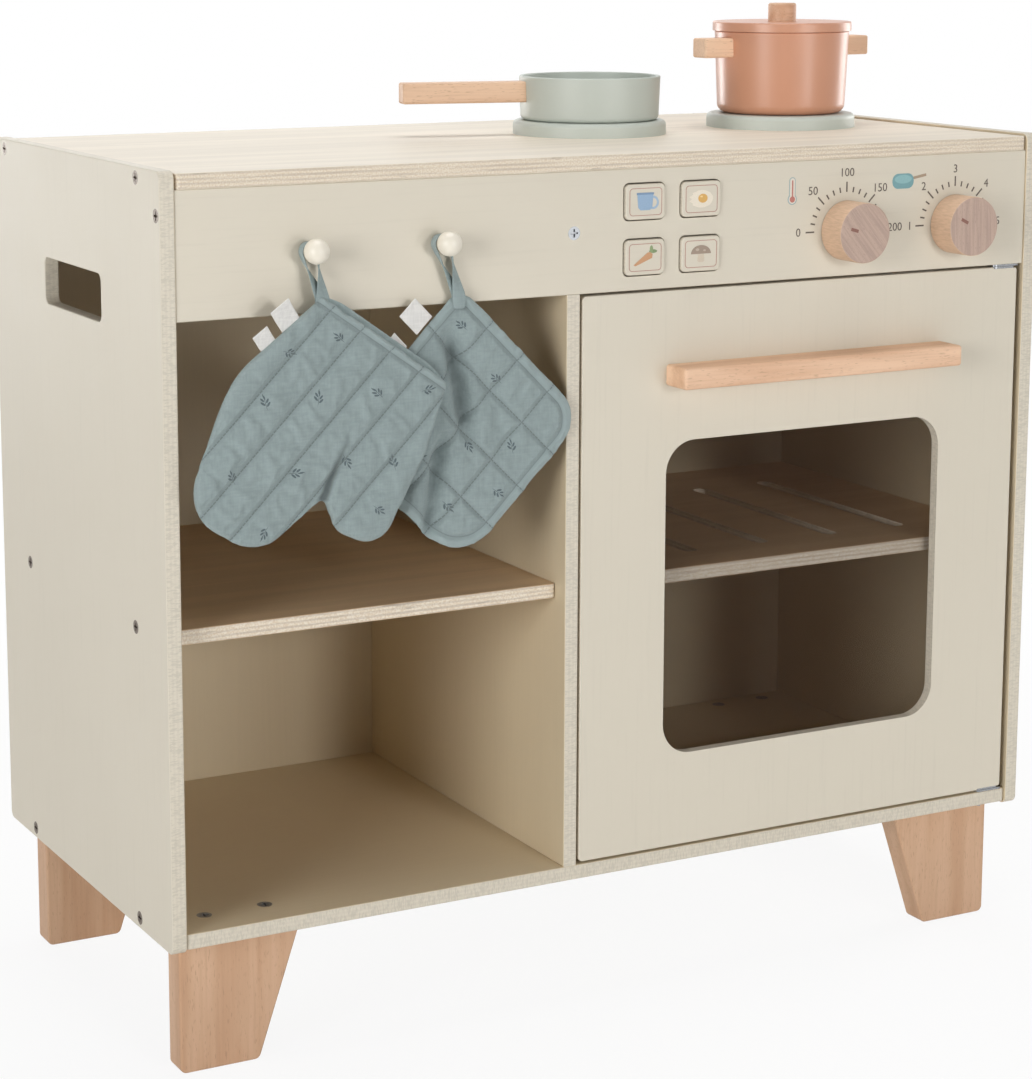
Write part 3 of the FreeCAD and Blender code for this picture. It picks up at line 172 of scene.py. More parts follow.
class Finish:
    """A material whose nodes are added by Python expressions."""

    def __init__(self, name):
        self.material = bpy.data.materials.new(name)
        self.material.use_nodes = True
        self.tree = self.material.node_tree
        self.tree.nodes.clear()
        self.shader = self.tree.nodes.new("ShaderNodeBsdfPrincipled")
        output = self.tree.nodes.new("ShaderNodeOutputMaterial")
        self.tree.links.new(self.shader.outputs[0], output.inputs[0])

    def feed(self, socket, value):
        if isinstance(value, Value):
            self.tree.links.new(value.socket, socket)
        elif socket.type == "RGBA":
            socket.default_value = (*value, 1)
        else:
            socket.default_value = value

    def node(self, kind, settings, sockets, output=0):
        """Add one node: its settings first, then a value or link for each socket."""
        item = self.tree.nodes.new(kind)
        for name, setting in settings.items():
            setattr(item, name, setting)
        for key, value in sockets.items():
            self.feed(item.inputs[key], value)
        return Value(self, item.outputs[output])

    def surface(self, **sockets):
        for name, value in sockets.items():
            self.feed(self.shader.inputs[name.replace("_", " ")], value)
        return self.material

    def place(self):
        return self.node("ShaderNodeTexCoord", {}, {}, "Object")

    def facing(self):
        """The parts of the surface normal along X, Y and Z."""
        return self.split(self.node("ShaderNodeTexCoord", {}, {}, "Normal"))

    def split(self, vector):
        item = self.node("ShaderNodeSeparateXYZ", {}, {0: vector})
        outputs = item.socket.node.outputs
        return [Value(self, outputs[i]) for i in range(3)]

    def turned(self, vector, scale=(1, 1, 1), rotation=(0, 0, 0), location=(0, 0, 0)):
        sockets = {"Vector": vector, "Scale": scale, "Rotation": rotation, "Location": location}
        return self.node("ShaderNodeMapping", {}, sockets)

    def noise(self, vector, scale, detail=2.0, roughness=0.5, distortion=0.0):
        sockets = {"Vector": vector, "Scale": scale, "Detail": detail, "Roughness": roughness}
        return self.node("ShaderNodeTexNoise", {}, {**sockets, "Distortion": distortion})

    def grain(self, vector, axis, stretch, *texture):
        """Noise that is drawn out along one axis."""
        scale = tuple(stretch if name == axis else 1 for name in AXES)
        return self.noise(self.turned(vector, scale), *texture)

    def smooth(self, value, low, high):
        """0 below low, 1 above high, with a soft step between."""
        settings = {"interpolation_type": "SMOOTHSTEP"}
        return self.node("ShaderNodeMapRange", settings, {0: value, 1: low, 2: high, 3: 0.0, 4: 1.0})

    def mix(self, factor, first, second):
        """One colour or the other; a Mix node keeps its colours on sockets 6 and 7, and its result on 2."""
        return self.node("ShaderNodeMix", {"data_type": "RGBA"}, {0: factor, 6: first, 7: second}, 2)

    def tint(self, factor, colour, low, high):
        """A colour that varies between two shares of itself."""
        return self.mix(factor, shade(colour, low), shade(colour, high))

    def coat(self, colour, roughness, height, strength, depth, **sockets):
        """The whole surface: a colour, a roughness, and a relief of so much strength and depth in mm."""
        relief = {"Height": height, "Strength": strength, "Distance": depth * MM}
        normal = self.node("ShaderNodeBump", {}, relief)
        return self.surface(Base_Color=colour, Roughness=roughness, Normal=normal, **sockets)


def shade(colour, share):
    return tuple(min(level * share, 1) for level in colour)


# finishes

PLY_LAYERS = 7
BINDINGS = {"mitt": 4.6 * MM, "holder": 6.4 * MM}
PEG_OF = {"mitt": "peg_left", "holder": "peg_right"}
GRAIN_STRETCH = 0.035
# distance from the middle where the side panels' screws begin, in metres
SIDE_ZONE = (0.285, 0.29)


def board_edge(finish, node, axis):
    """Where a board's cut edge shows, and the wave of its ply layers there."""
    low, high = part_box(node)
    number = AXES.index(axis)
    thickness = high[number] - low[number]
    place = finish.place()
    depth = (finish.split(place)[number] - low[number]) / thickness
    waver = finish.noise(place, 60, 3) * 0.05
    layers = (depth + waver) * (PLY_LAYERS * math.pi)
    wave = finish.smooth(layers.math("SINE"), -0.5, 0.5)
    edge = 1 - finish.smooth(abs(finish.facing()[number]), 0.45, 0.75)
    return edge, wave


def cream_paint(node, axis, grain, inner=()):
    """Satin cream paint, with the wood grain and the cut layers just showing through."""
    finish = Finish(f"cream_{node}")
    cream = tuple(colours().cream)
    place = finish.place()
    fibre = finish.grain(place, grain, GRAIN_STRETCH, 420, 3, 0.6)
    cloud = finish.noise(place, 5, 2)
    ground = finish.tint(cloud, cream, 0.965, 1.02)
    ground = finish.mix(finish.smooth(fibre, 0.52, 0.78) * 0.35, ground, shade(cream, 0.9))
    facing = finish.facing()[AXES.index(axis)]
    # inner faces take the inside colour, which is partly painted shade of the bays
    for side in inner:
        inner_paint_and_shade = finish.tint(fibre, colours().inside, 0.94, 1)
        ground = finish.mix(finish.smooth(facing * side, 0.5, 0.8), ground, inner_paint_and_shade)
    edge, wave = board_edge(finish, node, axis)
    pores = finish.smooth(finish.grain(place, axis, 0.25, 1000, 3, 0.7), 0.44, 0.6)
    stripes = finish.mix(wave * 0.16, shade(cream, 1.02), colours().ply_dark)
    stripes = finish.mix(pores * 0.65, stripes, shade(cream, 0.72))
    colour = finish.mix(edge * 0.75, ground, stripes)
    peel = finish.noise(place, 1400, 2)
    height = fibre * 0.55 + peel * 0.45 - edge * pores * 0.9
    return finish.coat(colour, 0.46 + finish.noise(place, 30, 3) * 0.12, height, 0.12, 0.15)


def birch_ply(node, veneer_colour):
    """A level board of clear varnished birch plywood: grain along X, and bare layers at its edges."""
    finish = Finish(f"birch_{node}")
    swatch = colours()
    place = finish.place()
    figure = finish.grain(place, "x", 0.06, 60, 3, 0.55, 0.8)
    fibre = finish.grain(place, "x", GRAIN_STRETCH, 520, 4, 0.65)
    light = tuple(veneer_colour)
    veneer = finish.tint(finish.smooth(figure, 0.38, 0.66), light, 1, 0.92)
    veneer = finish.mix(finish.smooth(fibre, 0.55, 0.75) * 0.45, veneer, shade(light, 0.76))
    edge, wave = board_edge(finish, node, "z")
    pores = finish.noise(place, 1100, 3)
    bare = finish.mix(finish.smooth(pores, 0.35, 0.65), shade(swatch.birch, 0.98), shade(swatch.birch_dark, 0.98))
    worn = finish.grain(place, "x", 0.12, 190, 4, 0.7)
    layers = finish.mix(wave * finish.smooth(fibre, 0.3, 0.6) * 0.46, bare, swatch.ply_dark)
    layers = finish.mix(finish.smooth(worn, 0.6, 0.7) * 0.5, layers, shade(swatch.ply_dark, 0.7))
    colour = finish.mix(edge, veneer, layers)
    height = fibre * 0.6 + edge * (wave * 0.7 + pores * 0.5)
    roughness = 0.46 + fibre * 0.16 + edge * 0.12
    return finish.coat(colour, roughness, height, 0.2, 0.2, Specular_IOR_Level=0.25)


def beech(name, grain, light, dark, turn=0.0):
    """Sanded beech with its fine dark flecks; the grain may be turned about Z."""
    finish = Finish(f"beech_{name}")
    place = finish.turned(finish.place(), rotation=(0, 0, turn))
    figure = finish.grain(place, grain, 0.07, 55, 3, 0.55, 0.6)
    fibre = finish.grain(place, grain, 0.03, 700, 3, 0.6)
    fleck = finish.grain(place, grain, 0.14, 1500, 1)
    wood = finish.mix(finish.smooth(figure, 0.3, 0.72), light, dark)
    wood = finish.mix(finish.smooth(fibre, 0.45, 0.8) * 0.4, wood, shade(dark, 0.85))
    wood = finish.mix(finish.smooth(fleck, 0.62, 0.74) * 0.5, wood, shade(dark, 0.7))
    return finish.coat(wood, 0.5 + fibre * 0.15, fibre - fleck * 0.4, 0.2, 0.15)


def dial_wood(dial, turn):
    """A turned knob: pale side grain, and a darker end face crossed by growth lines."""
    finish = Finish(f"{dial}_wood")
    swatch = colours()
    place = finish.place()
    fibre = finish.grain(place, "y", 0.16, 1100, 3)
    side = finish.tint(finish.smooth(fibre, 0.3, 0.75), swatch.beech, 0.95, 0.8)
    centre = centre_of(f"{dial}_knob")
    middle = finish.turned(place, location=(-centre.x, 0, -centre.z))
    lines = finish.turned(middle, rotation=(0, turn, 0))
    growth = finish.grain(lines, "z", 0.04, 640, 3, 0.6, 0.3)
    ray = finish.grain(lines, "z", 0.25, 1900, 2)
    face = finish.tint(finish.smooth(growth, 0.35, 0.68), swatch.dial_face, 1, 0.83)
    face = finish.mix(finish.smooth(ray, 0.58, 0.72) * 0.4, face, shade(swatch.dial_face, 0.6))
    front = finish.smooth(finish.facing()[1] * -1, 0.6, 0.9)
    height = fibre * (1 - front) + growth * front
    return finish.coat(finish.mix(front, side, face), 0.52 + fibre * 0.12, height, 0.2, 0.15)


def turned_paint(name, colour, roughness):
    """Paint on turned wood, with faint lathe rings and a fine peel."""
    finish = Finish(f"paint_{name}")
    place = finish.place()
    cloud = finish.noise(place, 25, 3)
    peel = finish.noise(place, 1300, 2)
    rings = finish.noise(finish.turned(place, (0.02, 0.02, 1)), 900, 2)
    speck = finish.smooth(finish.noise(place, 2100, 1), 0.66, 0.74)
    ground = finish.tint(cloud, colour, 0.95, 1.04)
    ground = finish.mix(speck * 0.18, ground, shade(colour, 0.72))
    return finish.coat(ground, roughness + cloud * 0.1, peel * 0.6 + rings * 0.4, 0.1, 0.15)


def plated_steel(name, colour, roughness):
    """Zinc plate with a faint cloudy shine, and bronze on what sits in the side panels."""
    finish = Finish(f"steel_{name}")
    place = finish.place()
    cloud = finish.noise(place, 400, 3)
    scratch = finish.grain(place, "y", 0.1, 2600, 2)
    dark = finish.smooth(abs(finish.split(place)[0]), *SIDE_ZONE)
    plate = finish.mix(dark, finish.tint(cloud, colour, 0.86, 1), colours().bronze)
    return finish.coat(plate, roughness + cloud * 0.14, scratch, 0.08, 0.05, Metallic=1.0)


def smoked_acrylic():
    """A see-through brown pane with a polished face."""
    finish = Finish("smoked_acrylic")
    haze = finish.noise(finish.place(), 18, 3)
    return finish.surface(
        Base_Color=finish.tint(haze, colours().smoke, 0.9, 1.1),
        Roughness=0.05 + haze * 0.05,
        IOR=1.49,
        Alpha=0.16,
        Specular_IOR_Level=0.22,
    )


FERRITE = (0.05, 0.05, 0.052)
MOULDED = (0.62, 0.6, 0.54)
FOAM = (0.12, 0.12, 0.12)


def plain_stuff(name, colour, roughness, scale, strength):
    """Foam, moulded plastic and the like: one colour broken up by its own texture."""
    finish = Finish(name)
    cells = finish.noise(finish.place(), scale, 3, 0.7)
    return finish.coat(finish.tint(cells, colour, 0.85, 1.1), roughness + cells * 0.1, cells, strength, 0.3)


def ink(name, colour):
    """Screen print with a slightly uneven film."""
    finish = Finish(f"ink_{name}")
    film = finish.noise(finish.place(), 1600, 2)
    return finish.coat(finish.tint(film, colour, 0.9, 1.12), 0.5 + film * 0.1, film, 0.1, 0.05)


THREAD = 0.62 * MM
STITCH = 2.6 * MM
SPRIG_PITCH = 34 * MM
# leaves of a printed twig in mm: centre, lean in degrees, half length, half width; the first two are mirrored
SPRIG_LEAVES = (
    ((1.5, -0.6), 48, 1.6, 0.62),
    ((1.3, 1.5), 56, 1.4, 0.56),
    ((0, 3.3), 90, 1.5, 0.55),
    ((0, -1), 90, 3.2, 0.17),
)
SPRIG_STAGGER = 0.5 * MM
SPRIG_SCATTER = 0.3


def cotton_ground(finish, colour):
    """Woven cotton: uneven thread colour, and the height of the weave."""
    place = finish.place()
    x, _, z = finish.split(place)
    thread = 2 * math.pi / THREAD
    weave = (x * thread).math("SINE") * (z * thread).math("SINE")
    slub = (finish.grain(place, "x", 0.1, 800, 3) + finish.grain(place, "z", 0.1, 800, 3)) / 2
    ground = finish.tint(finish.smooth(slub, 0.3, 0.7), colour, 0.91, 1.08)
    ground = finish.mix(finish.smooth(weave, 0.1, 0.9) * 0.25, ground, shade(colour, 0.8))
    return ground, weave * 0.1 + slub * 0.35


def sprig_mask(finish, x, z):
    """Small scattered twigs, one in each cell of a staggered layout, turned at random."""
    up = z / SPRIG_PITCH
    row = up.math("FLOOR")
    across = x / SPRIG_PITCH + row.math("MODULO", 2) * 0.5
    cell = finish.node("ShaderNodeCombineXYZ", {}, {0: across.math("FLOOR"), 1: row})
    dice = finish.node("ShaderNodeTexWhiteNoise", {"noise_dimensions": "2D"}, {"Vector": cell}, "Color")
    chance = finish.split(dice)
    side = (across.math("FRACT") - 0.5 - (chance[0] - 0.5) * SPRIG_SCATTER) * SPRIG_PITCH
    lift = (up.math("FRACT") - 0.5 - (chance[1] - 0.5) * SPRIG_SCATTER) * SPRIG_PITCH
    turn = chance[2] * (2 * math.pi)
    cosine, sine = turn.math("COSINE"), turn.math("SINE")
    out = side * cosine + lift * sine
    rise = lift * cosine - side * sine + out.math("SIGN") * SPRIG_STAGGER
    shape = None
    for (centre_out, centre_rise), lean, half_length, half_width in SPRIG_LEAVES:
        along_leaf, over_leaf = math.cos(math.radians(lean)), math.sin(math.radians(lean))
        step, climb = abs(out) - centre_out * MM, rise - centre_rise * MM
        far = (step * along_leaf + climb * over_leaf) / (half_length * MM)
        wide = (climb * along_leaf - step * over_leaf) / (half_width * MM)
        leaf = far * far + wide * wide
        shape = leaf if shape is None else shape.math("MINIMUM", leaf)
    return 1 - finish.smooth(shape, 0.7, 1.2)


def quilted_cotton(name, body, families):
    """Printed cotton with lines of stitching, drawn in along the seams and bound at its rim, with painted shade in
    the seam valleys and the creases.
    """
    finish = Finish(f"cotton_{name}")
    swatch = colours()
    cloth = tuple(swatch.cloth)
    peg = centre_of(PEG_OF[body])
    ground, height = cotton_ground(finish, cloth)
    place = finish.turned(finish.place(), location=(-peg.x, 0, -peg.z))
    x, _, z = finish.split(place)
    rim = finish.node("ShaderNodeAttribute", {"attribute_name": "rim"}, {}, "Fac")
    binding = BINDINGS[body]
    field = finish.smooth(rim, binding, binding + 0.4 * MM)
    ground = finish.mix(field, shade(cloth, 1.1), ground)
    colour = finish.mix(sprig_mask(finish, x, z) * field * 0.85, ground, swatch.sprig)
    gap = abs(rim - binding)
    thread = (1 - finish.smooth(gap, 0.15 * MM, 0.5 * MM)) * 0.7
    for (along_x, along_z), first, pitch, count in families:
        step = (x * along_x + z * along_z - first) / pitch
        number = step.math("ROUND").math("MAXIMUM", 0).math("MINIMUM", count - 1)
        distance = abs(step - number) * pitch
        run = abs(((z * along_x - x * along_z) / STITCH).math("FRACT") - 0.5)
        line = (1 - finish.smooth(distance, 0.2 * MM, 0.55 * MM)) * finish.smooth(run, 0.06, 0.14)
        thread = thread.math("MAXIMUM", line)
        gap = gap.math("MINIMUM", distance)
    valley = 1 - finish.smooth(gap, 0.3 * MM, 3 * MM)
    pucker = finish.noise(place, 300, 3, 0.6) * (1 - finish.smooth(gap, 0.5 * MM, 8 * MM))
    crumple = finish.noise(place, 90, 3, 0.5, 0.6)
    # painted shade: the cloth is darkened in the valleys along the seams and the bound edge
    colour = finish.mix(valley * 0.22, colour, shade(cloth, 0.55))
    # painted shade: the cloth is darkened in the thumb's crease, the cuff's groove and the holder's folds, by the
    # crease attribute
    crease_shade = finish.node("ShaderNodeAttribute", {"attribute_name": "crease"}, {}, "Fac")
    colour = finish.mix(finish.smooth(crease_shade, 0.15, 0.8) * 0.85, colour, shade(cloth, 0.25))
    colour = finish.mix(thread * 0.8, colour, shade(cloth, 0.5))
    relief = height + pucker * 0.8 + crumple * 1.2 - valley * 1.1 - thread * 0.3
    return finish.coat(colour, 0.82 + height * 0.1, relief, 0.75, 0.8, Sheen_Weight=0.15)


def plain_cotton(name, colour):
    """Woven tape without a print."""
    finish = Finish(f"tape_{name}")
    ground, height = cotton_ground(finish, colour)
    return finish.coat(ground, 0.82 + height * 0.1, height, 0.6, 0.4, Sheen_Weight=0.1)


def dress(material, *nodes):
    """Give CAD nodes their finish."""
    for name in nodes:
        slots = NODES[name].data.materials
        slots.clear()
        slots.append(material)


# modelling by hand

def begin():
    if bpy.context.object and bpy.context.object.mode != "OBJECT":
        bpy.ops.object.mode_set(mode="OBJECT")
    bpy.ops.object.select_all(action="DESELECT")


def pick(piece):
    begin()
    piece.select_set(True)
    bpy.context.view_layer.objects.active = piece
    return piece


def settle(piece):
    """Put a piece's place, turn and scale into its mesh."""
    pick(piece)
    bpy.ops.object.transform_apply(location=True, rotation=True, scale=True)
    return piece


def modify(piece, kind, **settings):
    """Add a modifier and apply it."""
    pick(piece)
    modifier = piece.modifiers.new(kind.title(), kind)
    for name, value in settings.items():
        setattr(modifier, name, value)
    bpy.ops.object.modifier_apply(modifier=modifier.name)
    return piece


def joined(pieces, name):
    begin()
    for piece in pieces:
        piece.select_set(True)
    bpy.context.view_layer.objects.active = pieces[0]
    if len(pieces) > 1:
        bpy.ops.object.join()
    piece = bpy.context.object
    piece.name = piece.data.name = name
    return piece


def finished(piece, material, body):
    """The last touches of a piece: its finish and its body."""
    piece.data.materials.clear()
    piece.data.materials.append(material)
    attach(piece, body)
    return piece


def centre_of(node):
    low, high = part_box(node)
    return (low + high) / 2


def clamp(value, low=0, high=1):
    return min(max(value, low), high)


def from_peg(place, peg):
    """A point's place to the right of a peg and above it."""
    return place.x - peg.x, place.z - peg.z


# prints

PRINT_SINK = 0.05 * MM
LAYER_RISE = 0.35
CAP_SHARE = 0.72


def print_shape(name, outline, centre, front, film, ring):
    """A flat print in the XZ plane from an outline about its centre, facing the front."""
    begin()
    bpy.ops.mesh.primitive_circle_add(vertices=len(outline), radius=1, fill_type="NGON")
    piece = bpy.context.object
    for vertex, (across, up) in zip(piece.data.vertices, outline):
        vertex.co = (centre[0] + across, front + PRINT_SINK, centre[1] + up)
    bpy.ops.object.mode_set(mode="EDIT")
    bpy.ops.mesh.select_all(action="SELECT")
    if ring:
        bpy.ops.mesh.inset(thickness=ring)
        bpy.ops.mesh.delete(type="FACE")
        bpy.ops.mesh.select_all(action="SELECT")
    bpy.ops.mesh.extrude_region_move(TRANSFORM_OT_translate={"value": (0, -film - PRINT_SINK, 0)})
    bpy.ops.mesh.select_all(action="SELECT")
    bpy.ops.mesh.normals_make_consistent(inside=False)
    bpy.ops.object.mode_set(mode="OBJECT")
    piece.name = name
    return piece


def oval(width, height, lift=0.0, shift=0.0, count=24, start=0.0, sweep=2 * math.pi):
    """Points of an ellipse, or of a part of one."""
    steps = count if sweep == 2 * math.pi else count - 1
    angles = [start + sweep * i / steps for i in range(count)]
    return [(shift + width / 2 * math.cos(a), lift + height / 2 * math.sin(a)) for a in angles]


def bar(length, width, angle, start):
    """A narrow strip that points away from the centre."""
    along_x, along_z = math.cos(angle), math.sin(angle)
    corners = ((start, -width / 2), (start + length, -width / 2), (start + length, width / 2), (start, width / 2))
    return [(u * along_x - v * along_z, u * along_z + v * along_x) for u, v in corners]


def numeral(text, height, centre, front, film):
    """A number in raised print, centred on a point and facing the front."""
    begin()
    place = (centre[0], front + PRINT_SINK, centre[1])
    bpy.ops.object.text_add(location=place, rotation=(math.pi / 2, 0, 0))
    piece = bpy.context.object
    piece.data.body = text
    piece.data.size = height / CAP_SHARE
    piece.data.align_x = "CENTER"
    piece.data.align_y = "CENTER"
    piece.data.resolution_u = 3
    piece.data.extrude = film + PRINT_SINK
    bpy.ops.object.convert(target="MESH")
    return settle(bpy.context.object)


TICKS = 17
TICKS_PER_MAJOR = 4
NUMERAL_RADIUS = {"oven_dial": 35.5 * MM, "hob_dial": 34.5 * MM}
# further out for each digit after the first, at the level ends
NUMERAL_STEP = 0.8 * MM
DIAL_NUMERALS = {"oven_dial": ("0", "50", "100", "150", "200"), "hob_dial": ("1", "2", "3", "4", "5")}


def dial_scale(dial):
    """Ticks and numbers over the upper half of a dial."""
    size = sizes()
    middle = centre_of(f"{dial}_knob")
    centre = (middle.x, middle.z)
    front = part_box("control_fascia")[0].y
    marks = []
    for i in range(TICKS):
        angle = math.pi * (1 - i / (TICKS - 1))
        major = i % TICKS_PER_MAJOR == 0
        end = size.tick_long if major else size.tick_short
        strip = bar(end - size.tick_inner, size.tick_width, angle, size.tick_inner)
        marks.append(print_shape("tick", strip, centre, front, size.print_film, 0))
        if major:
            word = DIAL_NUMERALS[dial][i // TICKS_PER_MAJOR]
            level = i in (0, TICKS - 1)
            radius = NUMERAL_RADIUS[dial] + level * (len(word) - 1) * NUMERAL_STEP
            spot = (centre[0] + radius * math.cos(angle), centre[1] + radius * math.sin(angle))
            marks.append(numeral(word, size.numeral_height, spot, front, size.print_film))
    return finished(joined(marks, f"{dial}_scale"), ink("scale", colours().ink), "cabinet")


def sign(name, layers, centre, front, body):
    """A printed sign: coloured shapes, each one a little above the last."""
    film = sizes().print_film
    marks = []
    for i, (outline, colour, ring) in enumerate(layers):
        shape = [(across * MM, up * MM) for across, up in outline]
        mark = print_shape("mark", shape, centre, front, film * (1 + LAYER_RISE * i), ring * MM)
        mark.data.materials.append(ink(f"{name}_{i}", tone(*colour)))
        marks.append(mark)
    piece = joined(marks, name)
    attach(piece, body)
    return piece


def rounded(width, height, radius, steps=5):
    """Points of a rounded rectangle."""
    points = []
    for number, (side, up) in enumerate(((1, 1), (-1, 1), (-1, -1), (1, -1))):
        for i in range(steps + 1):
            angle = math.pi / 2 * (number + i / steps)
            across = side * (width / 2 - radius) + radius * math.cos(angle)
            points.append((across, up * (height / 2 - radius) + radius * math.sin(angle)))
    return points


FRAME_LINE = (rounded(22.4, 16.4, 2.2), (176, 132, 118), 0.4)
BUTTON_SIGNS = {
    "upper_left": (
        FRAME_LINE,
        (oval(8, 8, -0.6, 5), (160, 182, 204), 1.3),
        ([(-6, 5), (5.2, 5), (4.4, -3.4), (2.8, -5), (-3.6, -5), (-5.2, -3.4)], (146, 172, 198), 0),
        ([(-6.3, 5.4), (5.5, 5.4), (5.5, 4.2), (-6.3, 4.2)], (120, 146, 174), 0),
    ),
    "upper_right": (
        FRAME_LINE,
        ([(a * (1 + 0.12 * math.sin(3 * i)), b) for i, (a, b) in enumerate(oval(16, 10.5))], (232, 222, 204), 0),
        (oval(6.6, 5.4, 0.3, 0.8), (214, 168, 92), 0),
        (oval(1.8, 1.1, 1.4, -0.2), (236, 206, 146), 0),
    ),
    "lower_left": (
        FRAME_LINE,
        (oval(5.4, 2.2, 3.4, 5.4), (122, 142, 98), 0),
        (oval(2.2, 4.6, 4.6, 4.2), (138, 156, 110), 0),
        ([(-8, -4.4), (-6.8, -5), (4.6, -0.6), (5, 1.6), (3.4, 3), (1.4, 2.6)], (198, 150, 110), 0),
    ),
    "lower_right": (
        FRAME_LINE,
        ([(-2, 0.4), (2, 0.4), (2.4, -4.2), (1.4, -5), (-1.4, -5), (-2.4, -4.2)], (206, 192, 172), 0),
        (oval(14, 10.4, 0, 0, 18, 0, math.pi), (156, 138, 122), 0),
        (oval(2.6, 1.6, 2.6, -2.6), (186, 170, 152), 0),
        (oval(1.8, 1.2, 2, 2.4), (186, 170, 152), 0),
    ),
}
BUTTON_BODIES = {
    "upper_left": "button_1",
    "upper_right": "button_2",
    "lower_left": "button_3",
    "lower_right": "button_4",
}
HEAT_SIGN = (
    (rounded(4.6, 15, 2.2), (150, 170, 172), 0),
    (oval(6.6, 6.6, -6), (150, 170, 172), 0),
    (rounded(3.6, 14, 1.7), (222, 214, 200), 0),
    (oval(5.4, 5.4, -6), (222, 214, 200), 0),
    (oval(3.8, 3.8, -6), (186, 116, 104), 0),
    (rounded(0.9, 11.4, 0.4), (186, 116, 104), 0),
)
FRYING_SIGN = (
    ([(6.8, 0.6), (7.4, 2.4), (17.6, 4.2), (17.8, 2.5)], (166, 146, 122), 0),
    (rounded(16.2, 9.4, 4.3), (116, 158, 162), 0),
    (oval(13, 5.4, 1.2), (138, 180, 182), 0),
)
HEAT_SIGN_AT = (112 * MM, 495.6 * MM)
FRYING_SIGN_AT = (194.9 * MM, 497.3 * MM)
POINTER_START = 5.4 * MM
POINTER_LENGTH = 5.6 * MM
POINTER_WIDTH = 2 * MM
POINTER_INK = (134, 92, 80)
# in degrees: turn of each dial's grain, of the pan's handle, and of each pointer above the left
DIAL_GRAIN = {"oven_dial": 40, "hob_dial": 2}
PAN_TURN = 12
POINTERS = {"oven_dial": 16, "hob_dial": 27}


def dial_pointer(dial):
    """A short printed mark on a dial's face."""
    middle = centre_of(f"{dial}_knob")
    angle = math.pi - math.radians(POINTERS[dial])
    strip = bar(POINTER_LENGTH, POINTER_WIDTH, angle, POINTER_START)
    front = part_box(f"{dial}_knob")[0].y
    mark = print_shape(f"{dial}_pointer", strip, (middle.x, middle.z), front, sizes().print_film, 0)
    return finished(mark, ink("pointer", tone(*POINTER_INK)), dial)


# soft goods

SLANT = math.sqrt(0.5)
SWELL_FRAMES = 20
SWELL_SPREAD = 0.3 * MM
SWELL_CLOTH = {
    "quality": 6,
    "mass": 0.2,
    "tension_stiffness": 12,
    "compression_stiffness": 12,
    "shear_stiffness": 4,
    "bending_stiffness": 0.05,
    "use_pressure": True,
    "uniform_pressure_force": 8,
    "shrink_min": -0.14,
}
SEAM_THICKNESS = 0.36
RIPPLE_PITCH = 9 * MM
RIPPLE_REACH = 22 * MM
RIPPLE_HEIGHT = 2.2 * MM
SHARP_PITCH = 17 * MM
SHARP_EDGE = 0.3
SHARP_CUT = 1.4
LAYER_HALF = 2.4 * MM
WELD = 0.02 * MM
# lines of stitching, in metres from the peg: direction across them, first, pitch, count
MITT_SEAMS = (((SLANT, -SLANT), 29 * MM, 22 * MM, 5),)
HOLDER_MIDDLE = (12 * MM, -108.5 * MM)
HOLDER_CELL = 28.5 * MM
HOLDER_LINES = 3
HOLDER_HALF = 58.5 * MM
# radius of each corner, by its side of the two diagonals
HOLDER_ROUNDS = {(1, 1): 12 * MM, (1, -1): 22 * MM, (-1, -1): 30 * MM, (-1, 1): 25 * MM}
CUFF_START = (4 * MM, -25 * MM)
CUFF_END = (81.5 * MM, -79.5 * MM)
CUFF_SPAN = math.dist(CUFF_START, CUFF_END)
CUFF_OUT = Vector((CUFF_START[1] - CUFF_END[1], 0, CUFF_END[0] - CUFF_START[0])) / CUFF_SPAN
# points of the thumb's crease in mm from the peg, from the crotch up
THUMB_CREASE = ((3, -139), (9, -126), (14.7, -114), (19, -98), (21, -85))
CREASE_DEPTH = 4.6 * MM
CREASE_REACH = 4.5 * MM
CREASE_HOLD = 0.45 * CREASE_DEPTH
MITT_SWELL = 1.6 * MM
MITT_PROUD = 3 * MM
MITT_HOLD = 1.2 * MM
MITT_VOXEL = 2 * MM
HOLDER_SWELL = 1.2 * MM
HOLDER_HOLD = 1.1 * MM
HOLDER_VOXEL = 1.8 * MM
HOLDER_SKIN = 1.2 * MM


def holder_seams():
    """The two crossing families of the holder's stitching."""
    families = []
    for across in ((SLANT, SLANT), (SLANT, -SLANT)):
        middle = HOLDER_MIDDLE[0] * across[0] + HOLDER_MIDDLE[1] * across[1]
        families.append((across, middle - HOLDER_CELL, HOLDER_CELL, HOLDER_LINES))
    return families


def seam_distance(x, z, families):
    """How far a point is from the nearest line of stitching."""
    nearest = math.inf
    for (along_x, along_z), first, pitch, count in families:
        step = (x * along_x + z * along_z - first) / pitch
        number = clamp(round(step), 0, count - 1)
        nearest = min(nearest, abs(step - number) * pitch)
    return nearest


def holder_rim(x, z):
    """How far a point is inside the holder's rounded outline."""
    x, z = x - HOLDER_MIDDLE[0], z - HOLDER_MIDDLE[1]
    right, left = (x + z) * SLANT, (z - x) * SLANT
    rounding = HOLDER_ROUNDS[(1 if right > 0 else -1, 1 if left > 0 else -1)]
    over = abs(right) - HOLDER_HALF + rounding, abs(left) - HOLDER_HALF + rounding
    return rounding - math.hypot(max(over[0], 0), max(over[1], 0)) - min(max(over), 0)


def cuff_frame(x, z):
    """How far a point is along the mitt's cuff, and how far inside its edge."""
    along_x, along_z = CUFF_END[0] - CUFF_START[0], CUFF_END[1] - CUFF_START[1]
    x, z = x - CUFF_START[0], z - CUFF_START[1]
    return (x * along_x + z * along_z) / CUFF_SPAN, (x * along_z - z * along_x) / CUFF_SPAN


def cuff_rim(x, z):
    return cuff_frame(x, z)[1]


